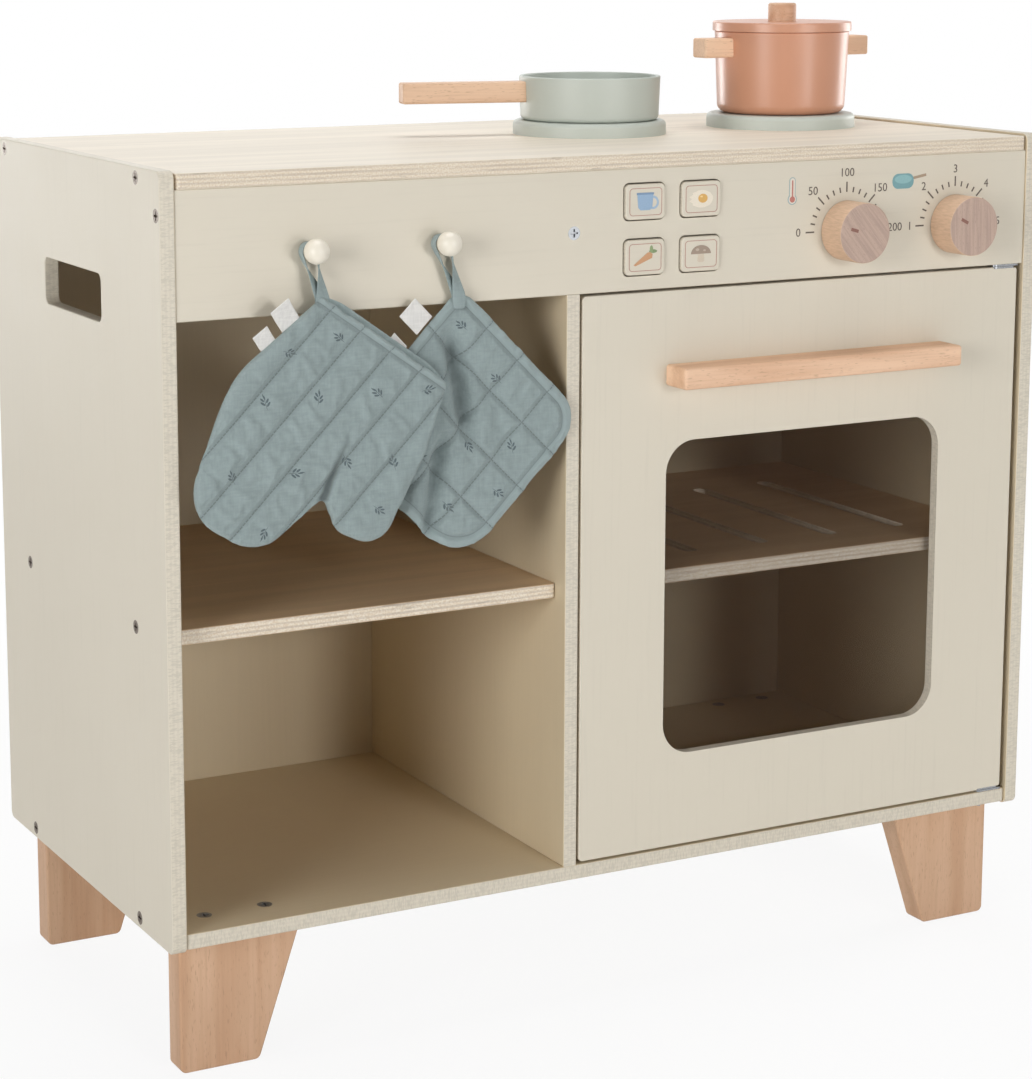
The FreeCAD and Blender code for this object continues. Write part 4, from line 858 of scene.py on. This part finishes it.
def crease_pull(x, z):
    """How far the thumb's crease draws the face in, strongest at the crotch."""
    pull = 0
    last = len(THUMB_CREASE) - 1
    for i in range(last):
        start, end = (Vector(point) * MM for point in THUMB_CREASE[i:i + 2])
        run = end - start
        share = clamp((Vector((x, z)) - start).dot(run) / run.length_squared)
        gap = (Vector((x, z)) - start - run * share).length
        fade = 1 - (i + share) / last
        pull = max(pull, fade * max(1 - gap / CREASE_REACH, 0))
    return pull * CREASE_DEPTH


def drawn_in(gap, span):
    """Share of the padding's thickness near a line of stitching, and all of it beyond the span."""
    slack = 1 - min(gap / span, 1)
    return 1 - (1 - SEAM_THICKNESS) * slack * slack


def wrinkle(x, z, across):
    """Slack folds of a sewn channel: ripples that run from seam to seam, and a few sharper creases."""
    over, along_seam = x * across[0] + z * across[1], z * across[0] - x * across[1]
    ripple = noise.noise(Vector((along_seam / RIPPLE_PITCH, over / RIPPLE_REACH, 0)))
    sharp = abs(noise.noise(Vector((along_seam / SHARP_PITCH, over / RIPPLE_REACH, 5))))
    return RIPPLE_HEIGHT * (ripple - SHARP_CUT * max(SHARP_EDGE - sharp, 0) / SHARP_EDGE)


def soft_copy(node, name, body, voxel, families, rim):
    """An even closed copy of a padded CAD solid, drawn in along its seams and wrinkled between them."""
    piece = bpy.data.objects.new(name, NODES[node].data.copy())
    bpy.context.scene.collection.objects.link(piece)
    pick(piece)
    bpy.ops.object.mode_set(mode="EDIT")
    bpy.ops.mesh.select_all(action="SELECT")
    bpy.ops.mesh.remove_doubles(threshold=WELD)
    bpy.ops.object.mode_set(mode="OBJECT")
    piece.data.remesh_voxel_size = voxel
    bpy.ops.object.voxel_remesh()
    middle = centre_of(node).y
    peg = centre_of(PEG_OF[body])
    across, _, pitch, _ = families[0]
    for vertex in piece.data.vertices:
        x, z = from_peg(vertex.co, peg)
        inside = rim(x, z) - BINDINGS[body]
        share = drawn_in(seam_distance(x, z, families), pitch / 2) if inside > 0 else 1
        share = min(share, drawn_in(abs(inside), BINDINGS[body] / 2))
        depth = vertex.co.y - middle
        fold = wrinkle(x, z, across) * min(abs(depth) / LAYER_HALF, 1) * (share - SEAM_THICKNESS)
        vertex.co.y = middle + depth * share + math.copysign(fold, depth)
    return piece


def swell(piece, stitched, cap):
    """Fill a piece by cloth simulation, held at its stitches; a point moves no further out than cap."""
    start = [vertex.co.copy() for vertex in piece.data.vertices]
    group = piece.vertex_groups.new(name="stitches")
    group.add([i for i, place in enumerate(start) if stitched(place)], 1, "REPLACE")
    pick(piece)
    modifier = piece.modifiers.new("Filling", "CLOTH")
    settings = modifier.settings
    for name, value in SWELL_CLOTH.items():
        setattr(settings, name, value)
    settings.effector_weights.gravity = 0
    settings.vertex_group_mass = group.name
    modifier.collision_settings.use_collision = False
    scene = bpy.context.scene
    for number in range(1, SWELL_FRAMES + 1):
        scene.frame_set(number)
    bpy.ops.object.modifier_apply(modifier=modifier.name)
    scene.frame_set(1)
    for vertex, first in zip(piece.data.vertices, start):
        step = vertex.co - first
        flat = Vector((step.x, 0, step.z))
        if flat.length > SWELL_SPREAD:
            flat *= SWELL_SPREAD / flat.length
        vertex.co = first + flat + Vector((0, clamp(step.y, -cap, cap), 0))


def keep_between(piece, front, back):
    """Draw a soft piece in until it lies between two depths, clear of its neighbours."""
    middle = (front + back) / 2
    depths = [vertex.co.y - middle for vertex in piece.data.vertices]
    share = min((back - front) / 2 / max(map(abs, depths)), 1)
    for vertex, depth in zip(piece.data.vertices, depths):
        vertex.co.y = middle + depth * share


def store(piece, name, values):
    """Keep one number for each point of a piece, for its finish to read."""
    piece.data.attributes.new(name, "FLOAT", "POINT").data.foreach_set("value", values)


def measured(piece, body, measure):
    """A measure of each point, such as its distance from a bound edge, by its place from the peg."""
    peg = centre_of(PEG_OF[body])
    return [measure(*from_peg(vertex.co, peg)) for vertex in piece.data.vertices]


def smooth_cloth(piece):
    pick(piece)
    bpy.ops.object.shade_smooth()
    return piece


def sewn_mitt():
    """The oven mitt: filled channels, a thumb crease and an open bound cuff."""
    node = "oven_mitt"
    piece = soft_copy(node, "oven_mitt_padded", "mitt", MITT_VOXEL, MITT_SEAMS, cuff_rim)
    peg = centre_of(PEG_OF["mitt"])
    middle = centre_of(node).y
    for vertex in piece.data.vertices:
        if vertex.co.y < middle:
            vertex.co.y += crease_pull(*from_peg(vertex.co, peg))

    def stitched(place):
        x, z = from_peg(place, peg)
        creased = place.y < middle and crease_pull(x, z) > CREASE_HOLD
        bound = abs(cuff_rim(x, z) - BINDINGS["mitt"]) < MITT_HOLD
        return creased or bound or seam_distance(x, z, MITT_SEAMS) < MITT_HOLD

    swell(piece, stitched, MITT_SWELL)
    low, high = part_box(node)
    keep_between(piece, low.y - MITT_PROUD, high.y)
    modify(piece, "SUBSURF", levels=1, render_levels=1)
    store(piece, "rim", measured(piece, "mitt", cuff_rim))
    # painted shade for the finish: the crease attribute says how dark the thumb's crease and the groove between the
    # cuff's layers are painted
    creases = measured(piece, "mitt", crease_pull)
    grooves = [open_cuff(vertex, peg, middle) for vertex in piece.data.vertices]
    store(piece, "crease", [max(crease / CREASE_DEPTH, groove) for crease, groove in zip(creases, grooves)])
    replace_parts(smooth_cloth(piece), node)
    return finished(piece, quilted_cotton("mitt", "mitt", MITT_SEAMS), "mitt")


CUFF_GROOVE = 6 * MM
CUFF_FADE = 1.6
GROOVE_SHARE = 0.6
CUFF_LIFT = 3.4 * MM
LINING_WIDTH = 8 * MM
LINING_STEPS = 14
LINING_SAG = 1.2 * MM
LINING_RISE = 2.5


def open_cuff(vertex, peg, middle):
    """Part the two layers at the cuff, and give the depth of the groove between."""
    along_cuff, inside = cuff_frame(*from_peg(vertex.co, peg))
    band = BINDINGS["mitt"]
    ends = clamp(min(along_cuff, CUFF_SPAN - along_cuff) / band)
    near = max(1 - max(inside, 0) / (CUFF_FADE * band), 0) * ends
    layer = (vertex.co.y - middle) / LAYER_HALF
    groove = max(1 - abs(layer) / GROOVE_SHARE, 0) * near
    vertex.co -= CUFF_OUT * (groove * CUFF_GROOVE)
    return groove


# slack folds of the holder, in mm from the peg: upper end, lower end, half width, depth
HOLDER_FOLDS = (
    ((5, -44), (17, -108), 6, 10),
    ((-6, -62), (-30, -150), 6.5, 10),
    ((2, -104), (-8, -170), 5.5, 8),
    ((26, -70), (42, -120), 8, 2.5),
)
# a fold's depth over this sets how dark its painted shade is
FOLD_SHADE = 20 * MM
FOLD_RISE = 0.35
FOLD_FALL = 0.4
FOLD_END = 1.25


def fold_depth(x, z):
    """How far the holder's folds push its cloth back at a point."""
    total = 0
    for upper, lower, width, depth in HOLDER_FOLDS:
        start, end = Vector(upper) * MM, Vector(lower) * MM
        run = end - start
        share = (Vector((x, z)) - start).dot(run) / run.length_squared
        gap = (Vector((x, z)) - start - run * share).length / (width * MM)
        ease = clamp(share / FOLD_RISE) * clamp((FOLD_END - share) / FOLD_FALL)
        total += ease * ease * (3 - 2 * ease) * depth * MM * math.exp(-gap * gap)
    return total


def sewn_holder():
    """The pot holder: a quilted square with a bound edge, in slack folds."""
    node = "pot_holder"
    families = holder_seams()
    piece = soft_copy(node, "pot_holder_padded", "holder", HOLDER_VOXEL, families, holder_rim)
    peg = centre_of(PEG_OF["holder"])

    def stitched(place):
        x, z = from_peg(place, peg)
        bound = abs(holder_rim(x, z) - BINDINGS["holder"]) < HOLDER_HOLD
        return bound or seam_distance(x, z, families) < HOLDER_HOLD

    swell(piece, stitched, HOLDER_SWELL)
    low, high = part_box(node)
    keep_between(piece, low.y, high.y)
    modify(piece, "SUBSURF", levels=1, render_levels=1)
    for vertex in piece.data.vertices:
        vertex.co.y += fold_depth(*from_peg(vertex.co, peg))
    store(piece, "rim", measured(piece, "holder", holder_rim))
    # painted shade: the holder's folds are darkened by their depth, stored as the crease attribute
    store(piece, "crease", [depth / FOLD_SHADE for depth in measured(piece, "holder", fold_depth)])
    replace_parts(smooth_cloth(piece), node)
    return finished(piece, quilted_cotton("holder", "holder", families), "holder")


def cuff_lining():
    """Points of the cuff's back edge, which stands a little above the front one, with its width's direction."""
    peg = centre_of(PEG_OF["mitt"])
    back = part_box("oven_mitt")[1].y - TAPE_THICKNESS
    line = []
    for i in range(LINING_STEPS + 1):
        share = i / LINING_STEPS
        middle = math.sin(math.pi * share)
        x, z = (first + (last - first) * share for first, last in zip(CUFF_START, CUFF_END))
        place = Vector((peg.x + x, back - LINING_SAG * (1 - middle), peg.z + z))
        lift = CUFF_LIFT * min(LINING_RISE * middle, 1)
        line.append((place + CUFF_OUT * (lift - LINING_WIDTH / 2), CUFF_OUT * LINING_WIDTH))
    return line


TAPE_WIDTH = 5.8 * MM
TAPE_SPREAD = 3 * MM
TAPE_THICKNESS = 0.9 * MM
LEG_GAP = 0.6 * TAPE_THICKNESS
LEG_STRAIGHT = 0.12
LOOP_RADIUS = 5.1 * MM
LOOP_DROP = 0.95 * MM
TAPE_STAND = 3.3 * MM
LEG_STEPS = 12
ARC_STEPS = 14
# in mm: foot of each loop from its peg, and the tails of its front and back legs
LOOPS = {"mitt": ((4, -27), (5, 5)), "holder": ((10, -31), (8, 3))}


def tape_leg(start, end, tail):
    """Points of a tape's leg from the peg to its foot, turning flat and widening, and of its sewn-in tail."""
    leg = []
    for i in range(1, LEG_STEPS + 1):
        share = i / LEG_STEPS
        eased = clamp((share - LEG_STRAIGHT) / (1 - LEG_STRAIGHT))
        place = start.lerp(end, share)
        place.y = start.y + (end.y - start.y) * eased
        twist = math.pi / 2 * eased
        width = TAPE_WIDTH + TAPE_SPREAD * eased
        leg.append((place, Vector((math.sin(twist), math.cos(twist), 0)) * width))
    leg.append((place - Vector((0, 0, tail)), leg[-1][1]))
    return leg


def loop_line(body, depth):
    """Points of a tape over a peg, with its width's direction: up the front leg, over, and down behind."""
    foot, tails = LOOPS[body]
    x, z = foot[0] * MM, foot[1] * MM
    peg = centre_of(PEG_OF[body])
    centre = Vector((peg.x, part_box("control_fascia")[0].y - TAPE_STAND, peg.z - LOOP_DROP))
    heading = math.atan2(z + LOOP_DROP, x)
    spread = math.acos(LOOP_RADIUS / math.hypot(x, z + LOOP_DROP))
    arc = []
    for i in range(ARC_STEPS + 1):
        bend = heading + spread + 2 * (math.pi - spread) * i / ARC_STEPS
        spot = centre + LOOP_RADIUS * Vector((math.cos(bend), 0, math.sin(bend)))
        arc.append((spot, Vector((0, TAPE_WIDTH, 0))))
    legs = []
    for (spot, _), side, tail in zip((arc[0], arc[-1]), (-LEG_GAP, LEG_GAP), tails):
        end = Vector((peg.x + x, depth + side, peg.z + z))
        legs.append(tape_leg(spot, end, tail * MM))
    return legs[0][::-1] + arc + legs[1]


def sewn_tape(name, line, material, body, node):
    """A flat woven tape along a line."""
    begin()
    bpy.ops.mesh.primitive_grid_add(x_subdivisions=3, y_subdivisions=len(line) - 1, size=1)
    piece = bpy.context.object
    for vertex in piece.data.vertices:
        row = round((vertex.co.y + 0.5) * (len(line) - 1))
        place, across = line[row]
        vertex.co = place + across * vertex.co.x
    piece.name = piece.data.name = name
    modify(piece, "SOLIDIFY", thickness=TAPE_THICKNESS, offset=0)
    modify(piece, "SUBSURF", levels=2, render_levels=2)
    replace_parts(smooth_cloth(piece), node)
    return finished(piece, material, body)


def hanging_loop(body, depth):
    """The tape by which a soft piece hangs."""
    material = plain_cotton(body, tuple(colours().cloth))
    sewn_tape(f"{body}_tape", loop_line(body, depth), material, body, f"{body}_loop")


# direction out of the seam, and each label in mm: root from the peg, width, reach, curl
LABELS = {
    "mitt": ((-0.6, 0.8), {"upper": ((-13.5, -42.5), 13, 18, 5), "lower": ((-27, -53.5), 10.5, 14, 3)}),
    "holder": ((-SLANT, SLANT), {"upper": ((-12, -47), 14, 16, 0.9), "lower": ((-27, -62), 11, 12, 0.9)}),
}
LABEL_THICKNESS = 0.5 * MM
LABEL_ROUND = 0.15 * MM
LABEL_TWIST = 0.25


def sewn_labels(body, depth):
    """Plain woven labels that stand out of a seam and curl forward."""
    peg = centre_of(PEG_OF[body])
    outward, labels = LABELS[body]
    sideways = Vector((-outward[1], 0, outward[0]))
    forward = Vector((outward[0], 0, outward[1]))
    for name, (base, width, reach, curl) in labels.items():
        begin()
        bpy.ops.mesh.primitive_grid_add(x_subdivisions=6, y_subdivisions=8, size=1)
        piece = bpy.context.object
        root = Vector((peg.x + base[0] * MM, depth, peg.z + base[1] * MM))
        for vertex in piece.data.vertices:
            rise = vertex.co.y + 0.5
            bow = (rise ** 2 - LABEL_TWIST * vertex.co.x * rise) * curl
            side = vertex.co.x * width * MM
            vertex.co = root + sideways * side + forward * (rise * reach * MM) + Vector((0, -bow * MM, 0))
        piece.name = piece.data.name = f"{body}_label_{name}"
        modify(piece, "SOLIDIFY", thickness=LABEL_THICKNESS, offset=0)
        modify(piece, "BEVEL", width=LABEL_ROUND, segments=2)
        smooth_cloth(piece)
        width * MM
        reach * MM
        finished(piece, plain_cotton("label", tuple(colours().label)), body)


FOAM_CUT = 0.6 * MM
FOAM_BORDER = 3 * MM
FOAM_ROUND = 0.8 * MM
FOAM_DISH = 0.15 * MM


def foam_pad(button, material):
    """A pad of foam behind one push button, for it to press on; the pad is built in its rest shape."""
    low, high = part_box("button_foam")
    start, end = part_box(f"button_{button}")
    begin()
    middle = centre_of(f"button_{button}")
    middle.y = centre_of("button_foam").y
    bpy.ops.mesh.primitive_cube_add(size=1, location=middle)
    piece = bpy.context.object
    piece.scale = (end.x - start.x - FOAM_CUT, high.y - low.y, end.z - start.z - FOAM_CUT)
    settle(piece)
    for face in piece.data.polygons:
        face.select = face.normal.y < -0.5
    bpy.ops.object.mode_set(mode="EDIT")
    bpy.ops.mesh.inset(thickness=FOAM_BORDER)
    bpy.ops.transform.translate(value=(0, FOAM_DISH, 0))
    bpy.ops.object.mode_set(mode="OBJECT")
    modify(piece, "BEVEL", width=FOAM_ROUND, segments=3)
    piece.name = piece.data.name = f"foam_pad_{button}"
    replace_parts(piece, "button_foam")
    finished(piece, material, "cabinet")
    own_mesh(piece)


# studio

EYE = Vector((-0.8416, -1.5143, 0.6533))
AIM = Vector((0.4583, 0.87299, -0.16686))
SENSOR_MM = 36
LENS_MM = 91.65
FRAME_SHIFT = (0.05, -0.137)
CLIP = (0.05, 50)
WORLD_TINT = (1, 0.985, 0.96, 1)
WORLD_LIGHT = 0.09
LAMP_AIM = Vector((0, 0, 0.3))
LAMPS = {
    # name: place, size, watts
    "key": ((0.3, -2.8, 0.92), 0.5, 17.5),
    "low": ((0.85, -2.5, 0.35), 0.6, 8),
    "left": ((-2.5, -1.3, 0.8), 1.3, 36),
    "top": ((0.1, 0.1, 2.8), 1.8, 33),
    "back": ((0.8, 2.8, 1.6), 2.0, 14),
    "rear": ((-0.6, 2.8, 0.35), 0.8, 16),
    "right": ((2.6, 0.5, 0.8), 1.4, 26),
}


def seen_rays(tree):
    """1 for rays that show the studio to the camera, straight or by a reflection."""
    path = tree.nodes.new("ShaderNodeLightPath")
    rays = path.outputs["Is Camera Ray"]
    for name in ("Is Glossy Ray", "Is Transmission Ray"):
        either = tree.nodes.new("ShaderNodeMath")
        either.operation = "MAXIMUM"
        tree.links.new(rays, either.inputs[0])
        tree.links.new(path.outputs[name], either.inputs[1])
        rays = either.outputs[0]
    return rays


def studio_world():
    """Soft even light, which the camera and shiny surfaces see as white."""
    world = bpy.data.worlds.new("studio")
    bpy.context.scene.world = world
    world.use_nodes = True
    tree = world.node_tree
    tree.nodes.clear()
    output = tree.nodes.new("ShaderNodeOutputWorld")
    light, white = (tree.nodes.new("ShaderNodeBackground") for _ in range(2))
    light.inputs["Color"].default_value = WORLD_TINT
    light.inputs["Strength"].default_value = WORLD_LIGHT
    white.inputs["Strength"].default_value = 1.0
    white.inputs["Color"].default_value = (1, 1, 1, 1)
    blend = tree.nodes.new("ShaderNodeMixShader")
    tree.links.new(seen_rays(tree), blend.inputs[0])
    tree.links.new(light.outputs[0], blend.inputs[1])
    tree.links.new(white.outputs[0], blend.inputs[2])
    tree.links.new(blend.outputs[0], output.inputs[0])


FLOOR_SPAN = 14
FLOOR_DROP = 0.2 * MM
FLOOR_TONE = (0.88, 0.88, 0.88)
FLOOR_CLOUD = 0.9545
FLOOR_NEAR = 0.5
FLOOR_FAR = 1.1
FLOOR_SHADE = 0.1


def pale_floor():
    """A pale matt floor that fades to the white backdrop and keeps a soft shadow near the object."""
    finish = Finish("pale_floor")
    x, y, _ = finish.split(finish.place())
    reach = (x * x + y * y).math("SQRT")
    cloud = finish.noise(finish.place(), 4, 2)
    finish.surface(Base_Color=finish.tint(cloud, FLOOR_TONE, FLOOR_CLOUD, 1), Roughness=0.8)
    rays = Value(finish, seen_rays(finish.tree))
    share = rays * (1 - FLOOR_SHADE * (1 - finish.smooth(reach, FLOOR_NEAR, FLOOR_FAR)))
    glow = finish.node("ShaderNodeEmission", {}, {"Color": (1, 1, 1), "Strength": 1.0})
    own = Value(finish, finish.shader.outputs[0])
    blend = finish.node("ShaderNodeMixShader", {}, {0: share, 1: own, 2: glow})
    output = next(item for item in finish.tree.nodes if item.type == "OUTPUT_MATERIAL")
    finish.tree.links.new(blend.socket, output.inputs[0])
    return finish.material


def studio_floor():
    begin()
    bpy.ops.mesh.primitive_plane_add(size=FLOOR_SPAN, location=(0, 0, -FLOOR_DROP))
    floor = bpy.context.object
    floor.name = "studio_floor"
    floor.data.materials.append(pale_floor())


def studio_lamps():
    for name, (place, span, watts) in LAMPS.items():
        begin()
        bpy.ops.object.light_add(type="AREA", location=place)
        lamp = bpy.context.object
        lamp.name = f"studio_{name}"
        lamp.data.shape = "DISK"
        lamp.data.size = span
        lamp.data.energy = watts
        lamp.rotation_euler = (LAMP_AIM - Vector(place)).to_track_quat("-Z", "Y").to_euler()


def studio_camera():
    begin()
    bpy.ops.object.camera_add(location=EYE)
    camera = bpy.context.object
    camera.rotation_euler = AIM.to_track_quat("-Z", "Y").to_euler()
    camera.data.sensor_width = SENSOR_MM
    camera.data.lens = LENS_MM
    camera.data.shift_x, camera.data.shift_y = FRAME_SHIFT
    camera.data.clip_start, camera.data.clip_end = CLIP
    bpy.context.scene.camera = camera


# operators

class KITCHEN_OT_boards(bpy.types.Operator):
    """Paint the cabinet boards and varnish the plywood ones"""

    bl_idname = "kitchen.boards"
    bl_label = "Finish Boards"

    def execute(self, context):
        painted = {
            "left_side_panel": ("x", "z", (1,)),
            "right_side_panel": ("x", "z", (-1,)),
            "divider_panel": ("x", "z", (-1, 1)),
            "bottom_panel": ("z", "x", (1,)),
            "control_fascia": ("y", "x", (1,)),
            "door_panel": ("y", "z", ()),
            "back_panel": ("y", "z", (-1,)),
        }
        for node, (axis, grain, inner) in painted.items():
            dress(cream_paint(node, axis, grain, inner), node)
        swatch = colours()
        # the shelves take the shelf colour, which is partly painted shade of the bays
        veneers = {"worktop": swatch.birch, "open_shelf": swatch.shelf, "oven_shelf": swatch.shelf}
        for node, colour in veneers.items():
            dress(birch_ply(node, colour), node)
        for button in BUTTON_BODIES:
            dress(cream_paint(f"button_{button}", "y", "x"), f"button_{button}")
        return {"FINISHED"}


class KITCHEN_OT_beech(bpy.types.Operator):
    """Give the solid beech pieces their grain"""

    bl_idname = "kitchen.beech"
    bl_label = "Finish Beech"

    def execute(self, context):
        swatch = colours()
        legs = [f"leg_{row}_{side}" for row in ("front", "back") for side in ("left", "right")]
        dress(beech("legs", "z", swatch.leg, swatch.leg_dark), *legs)
        pale = shade(swatch.beech, 1.12), shade(swatch.beech_dark, 1.12)
        bright = shade(swatch.beech, 1.22), shade(swatch.beech_dark, 1.26)
        dress(beech("handle", "x", *bright), "door_handle", "pot_handle_left", "pot_handle_right")
        dress(beech("pan_handle", "x", *pale, math.radians(PAN_TURN)), "pan_handle")
        dress(beech("block", "x", swatch.beech, swatch.beech_dark), "door_stop")
        for dial, turn in DIAL_GRAIN.items():
            dress(dial_wood(dial, math.radians(turn)), f"{dial}_knob")
        dress(beech("rods", "y", swatch.beech, swatch.beech_dark), "oven_dial_spindle", "hob_dial_spindle", "dowels")
        dress(beech("lid_knob", "x", *pale), "lid_knob")
        return {"FINISHED"}


class KITCHEN_OT_toys(bpy.types.Operator):
    """Paint the burners, the pan, the pot, its lid and the pegs"""

    bl_idname = "kitchen.toys"
    bl_label = "Paint Toys"

    def execute(self, context):
        swatch = colours()
        dress(turned_paint("sage", shade(swatch.sage, 1.04), 0.4), "pan_body")
        dress(turned_paint("burner", shade(swatch.sage, 1.12), 0.4), "burner_left", "burner_right")
        dress(turned_paint("clay", tuple(swatch.clay), 0.27), "pot_body", "pot_lid")
        dress(turned_paint("ivory", tuple(swatch.ivory), 0.25), "peg_left", "peg_right")
        return {"FINISHED"}


class KITCHEN_OT_fittings(bpy.types.Operator):
    """Finish the metal, the window and the hidden button box"""

    bl_idname = "kitchen.fittings"
    bl_label = "Finish Fittings"

    def execute(self, context):
        steel = tuple(colours().steel)
        dress(
            plated_steel("screws", steel, 0.34),
            "panel_screws", "back_screws", "burner_screws", "leg_bolts", "hinge_fixed_screws", "hinge_door_screws",
            "handle_screws", "window_screws", "pan_screw", "pot_screws", "door_strike",
        )
        dress(
            plated_steel("hinges", steel, 0.2),
            "hinge_fixed_upper", "hinge_fixed_lower", "hinge_door_upper", "hinge_door_lower",
        )
        dress(plain_stuff("ferrite", FERRITE, 0.5, 1500, 0.1), "door_magnet")
        dress(plain_stuff("moulded_box", MOULDED, 0.55, 1800, 0.08), "button_housing")
        dress(smoked_acrylic(), "door_window")
        return {"FINISHED"}


class KITCHEN_OT_dial_marks(bpy.types.Operator):
    """Print the scales round the dials"""

    bl_idname = "kitchen.dial_marks"
    bl_label = "Print Dial Scales"

    def execute(self, context):
        for dial in DIAL_NUMERALS:
            dial_scale(dial)
        return {"FINISHED"}


class KITCHEN_OT_signs(bpy.types.Operator):
    """Print the signs on the fascia and the buttons, and the dial pointers"""

    bl_idname = "kitchen.signs"
    bl_label = "Print Signs"

    def execute(self, context):
        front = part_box("control_fascia")[0].y
        sign("heat_sign", HEAT_SIGN, HEAT_SIGN_AT, front, "cabinet")
        sign("frying_sign", FRYING_SIGN, FRYING_SIGN_AT, front, "cabinet")
        for name, layers in BUTTON_SIGNS.items():
            middle = centre_of(f"button_{name}")
            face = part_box(f"button_{name}")[0].y
            sign(f"button_{name}_sign", layers, (middle.x, middle.z), face, BUTTON_BODIES[name])
        for dial in POINTERS:
            dial_pointer(dial)
        return {"FINISHED"}


class KITCHEN_OT_foam(bpy.types.Operator):
    """Cut the foam pads behind the push buttons"""

    bl_idname = "kitchen.foam"
    bl_label = "Cut Foam Pads"

    def execute(self, context):
        material = plain_stuff("foam_sheet", FOAM, 0.85, 2200, 0.5)
        for button, body in BUTTON_BODIES.items():
            foam_pad(button, material)
        return {"FINISHED"}


class KITCHEN_OT_mitt(bpy.types.Operator):
    """Sew the oven mitt with its loop and labels"""

    bl_idname = "kitchen.mitt"
    bl_label = "Sew Oven Mitt"

    def execute(self, context):
        piece = sewn_mitt()
        depth = centre_of("oven_mitt").y
        hanging_loop("mitt", depth)
        pale = plain_cotton("cuff", shade(colours().cloth, 1.12))
        sewn_tape("mitt_cuff_lining", cuff_lining(), pale, "mitt", "oven_mitt")
        sewn_labels("mitt", depth)
        return {"FINISHED"}


class KITCHEN_OT_holder(bpy.types.Operator):
    """Sew the pot holder with its loop and labels"""

    bl_idname = "kitchen.holder"
    bl_label = "Sew Pot Holder"

    def execute(self, context):
        piece = sewn_holder()
        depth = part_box("pot_holder")[0].y + HOLDER_SKIN
        hanging_loop("holder", depth)
        sewn_labels("holder", depth)
        return {"FINISHED"}


class KITCHEN_OT_studio(bpy.types.Operator):
    """Set up the floor, the lamps, the world and the camera"""

    bl_idname = "kitchen.studio"
    bl_label = "Set Up Studio"

    def execute(self, context):
        context.scene.view_settings.view_transform = "Standard"
        studio_world()
        studio_floor()
        studio_lamps()
        studio_camera()
        return {"FINISHED"}


STEPS = (
    KITCHEN_OT_boards,
    KITCHEN_OT_beech,
    KITCHEN_OT_toys,
    KITCHEN_OT_fittings,
    KITCHEN_OT_dial_marks,
    KITCHEN_OT_signs,
    KITCHEN_OT_foam,
    KITCHEN_OT_mitt,
    KITCHEN_OT_holder,
    KITCHEN_OT_studio,
)


class KITCHEN_PT_sidebar(bpy.types.Panel):
    """The steps of the play kitchen, in order"""

    bl_label = "Play Kitchen"
    bl_idname = "KITCHEN_PT_sidebar"
    bl_space_type = "VIEW_3D"
    bl_region_type = "UI"
    bl_category = "Play Kitchen"

    def draw(self, context):
        for step in STEPS:
            self.layout.operator(step.bl_idname)


CLASSES = (KitchenColours, KitchenSizes, *STEPS, KITCHEN_PT_sidebar)


def register():
    for item in CLASSES:
        bpy.utils.register_class(item)
    bpy.types.Scene.kitchen_colours = bpy.props.PointerProperty(type=KitchenColours)
    bpy.types.Scene.kitchen_sizes = bpy.props.PointerProperty(type=KitchenSizes)


def unregister():
    del bpy.types.Scene.kitchen_sizes
    del bpy.types.Scene.kitchen_colours
    for item in reversed(CLASSES):
        bpy.utils.unregister_class(item)


def main():
    register()
    for step in STEPS:
        group, name = step.bl_idname.split(".")
        getattr(getattr(bpy.ops, group), name)()


if __name__ == "__main__":
    main()
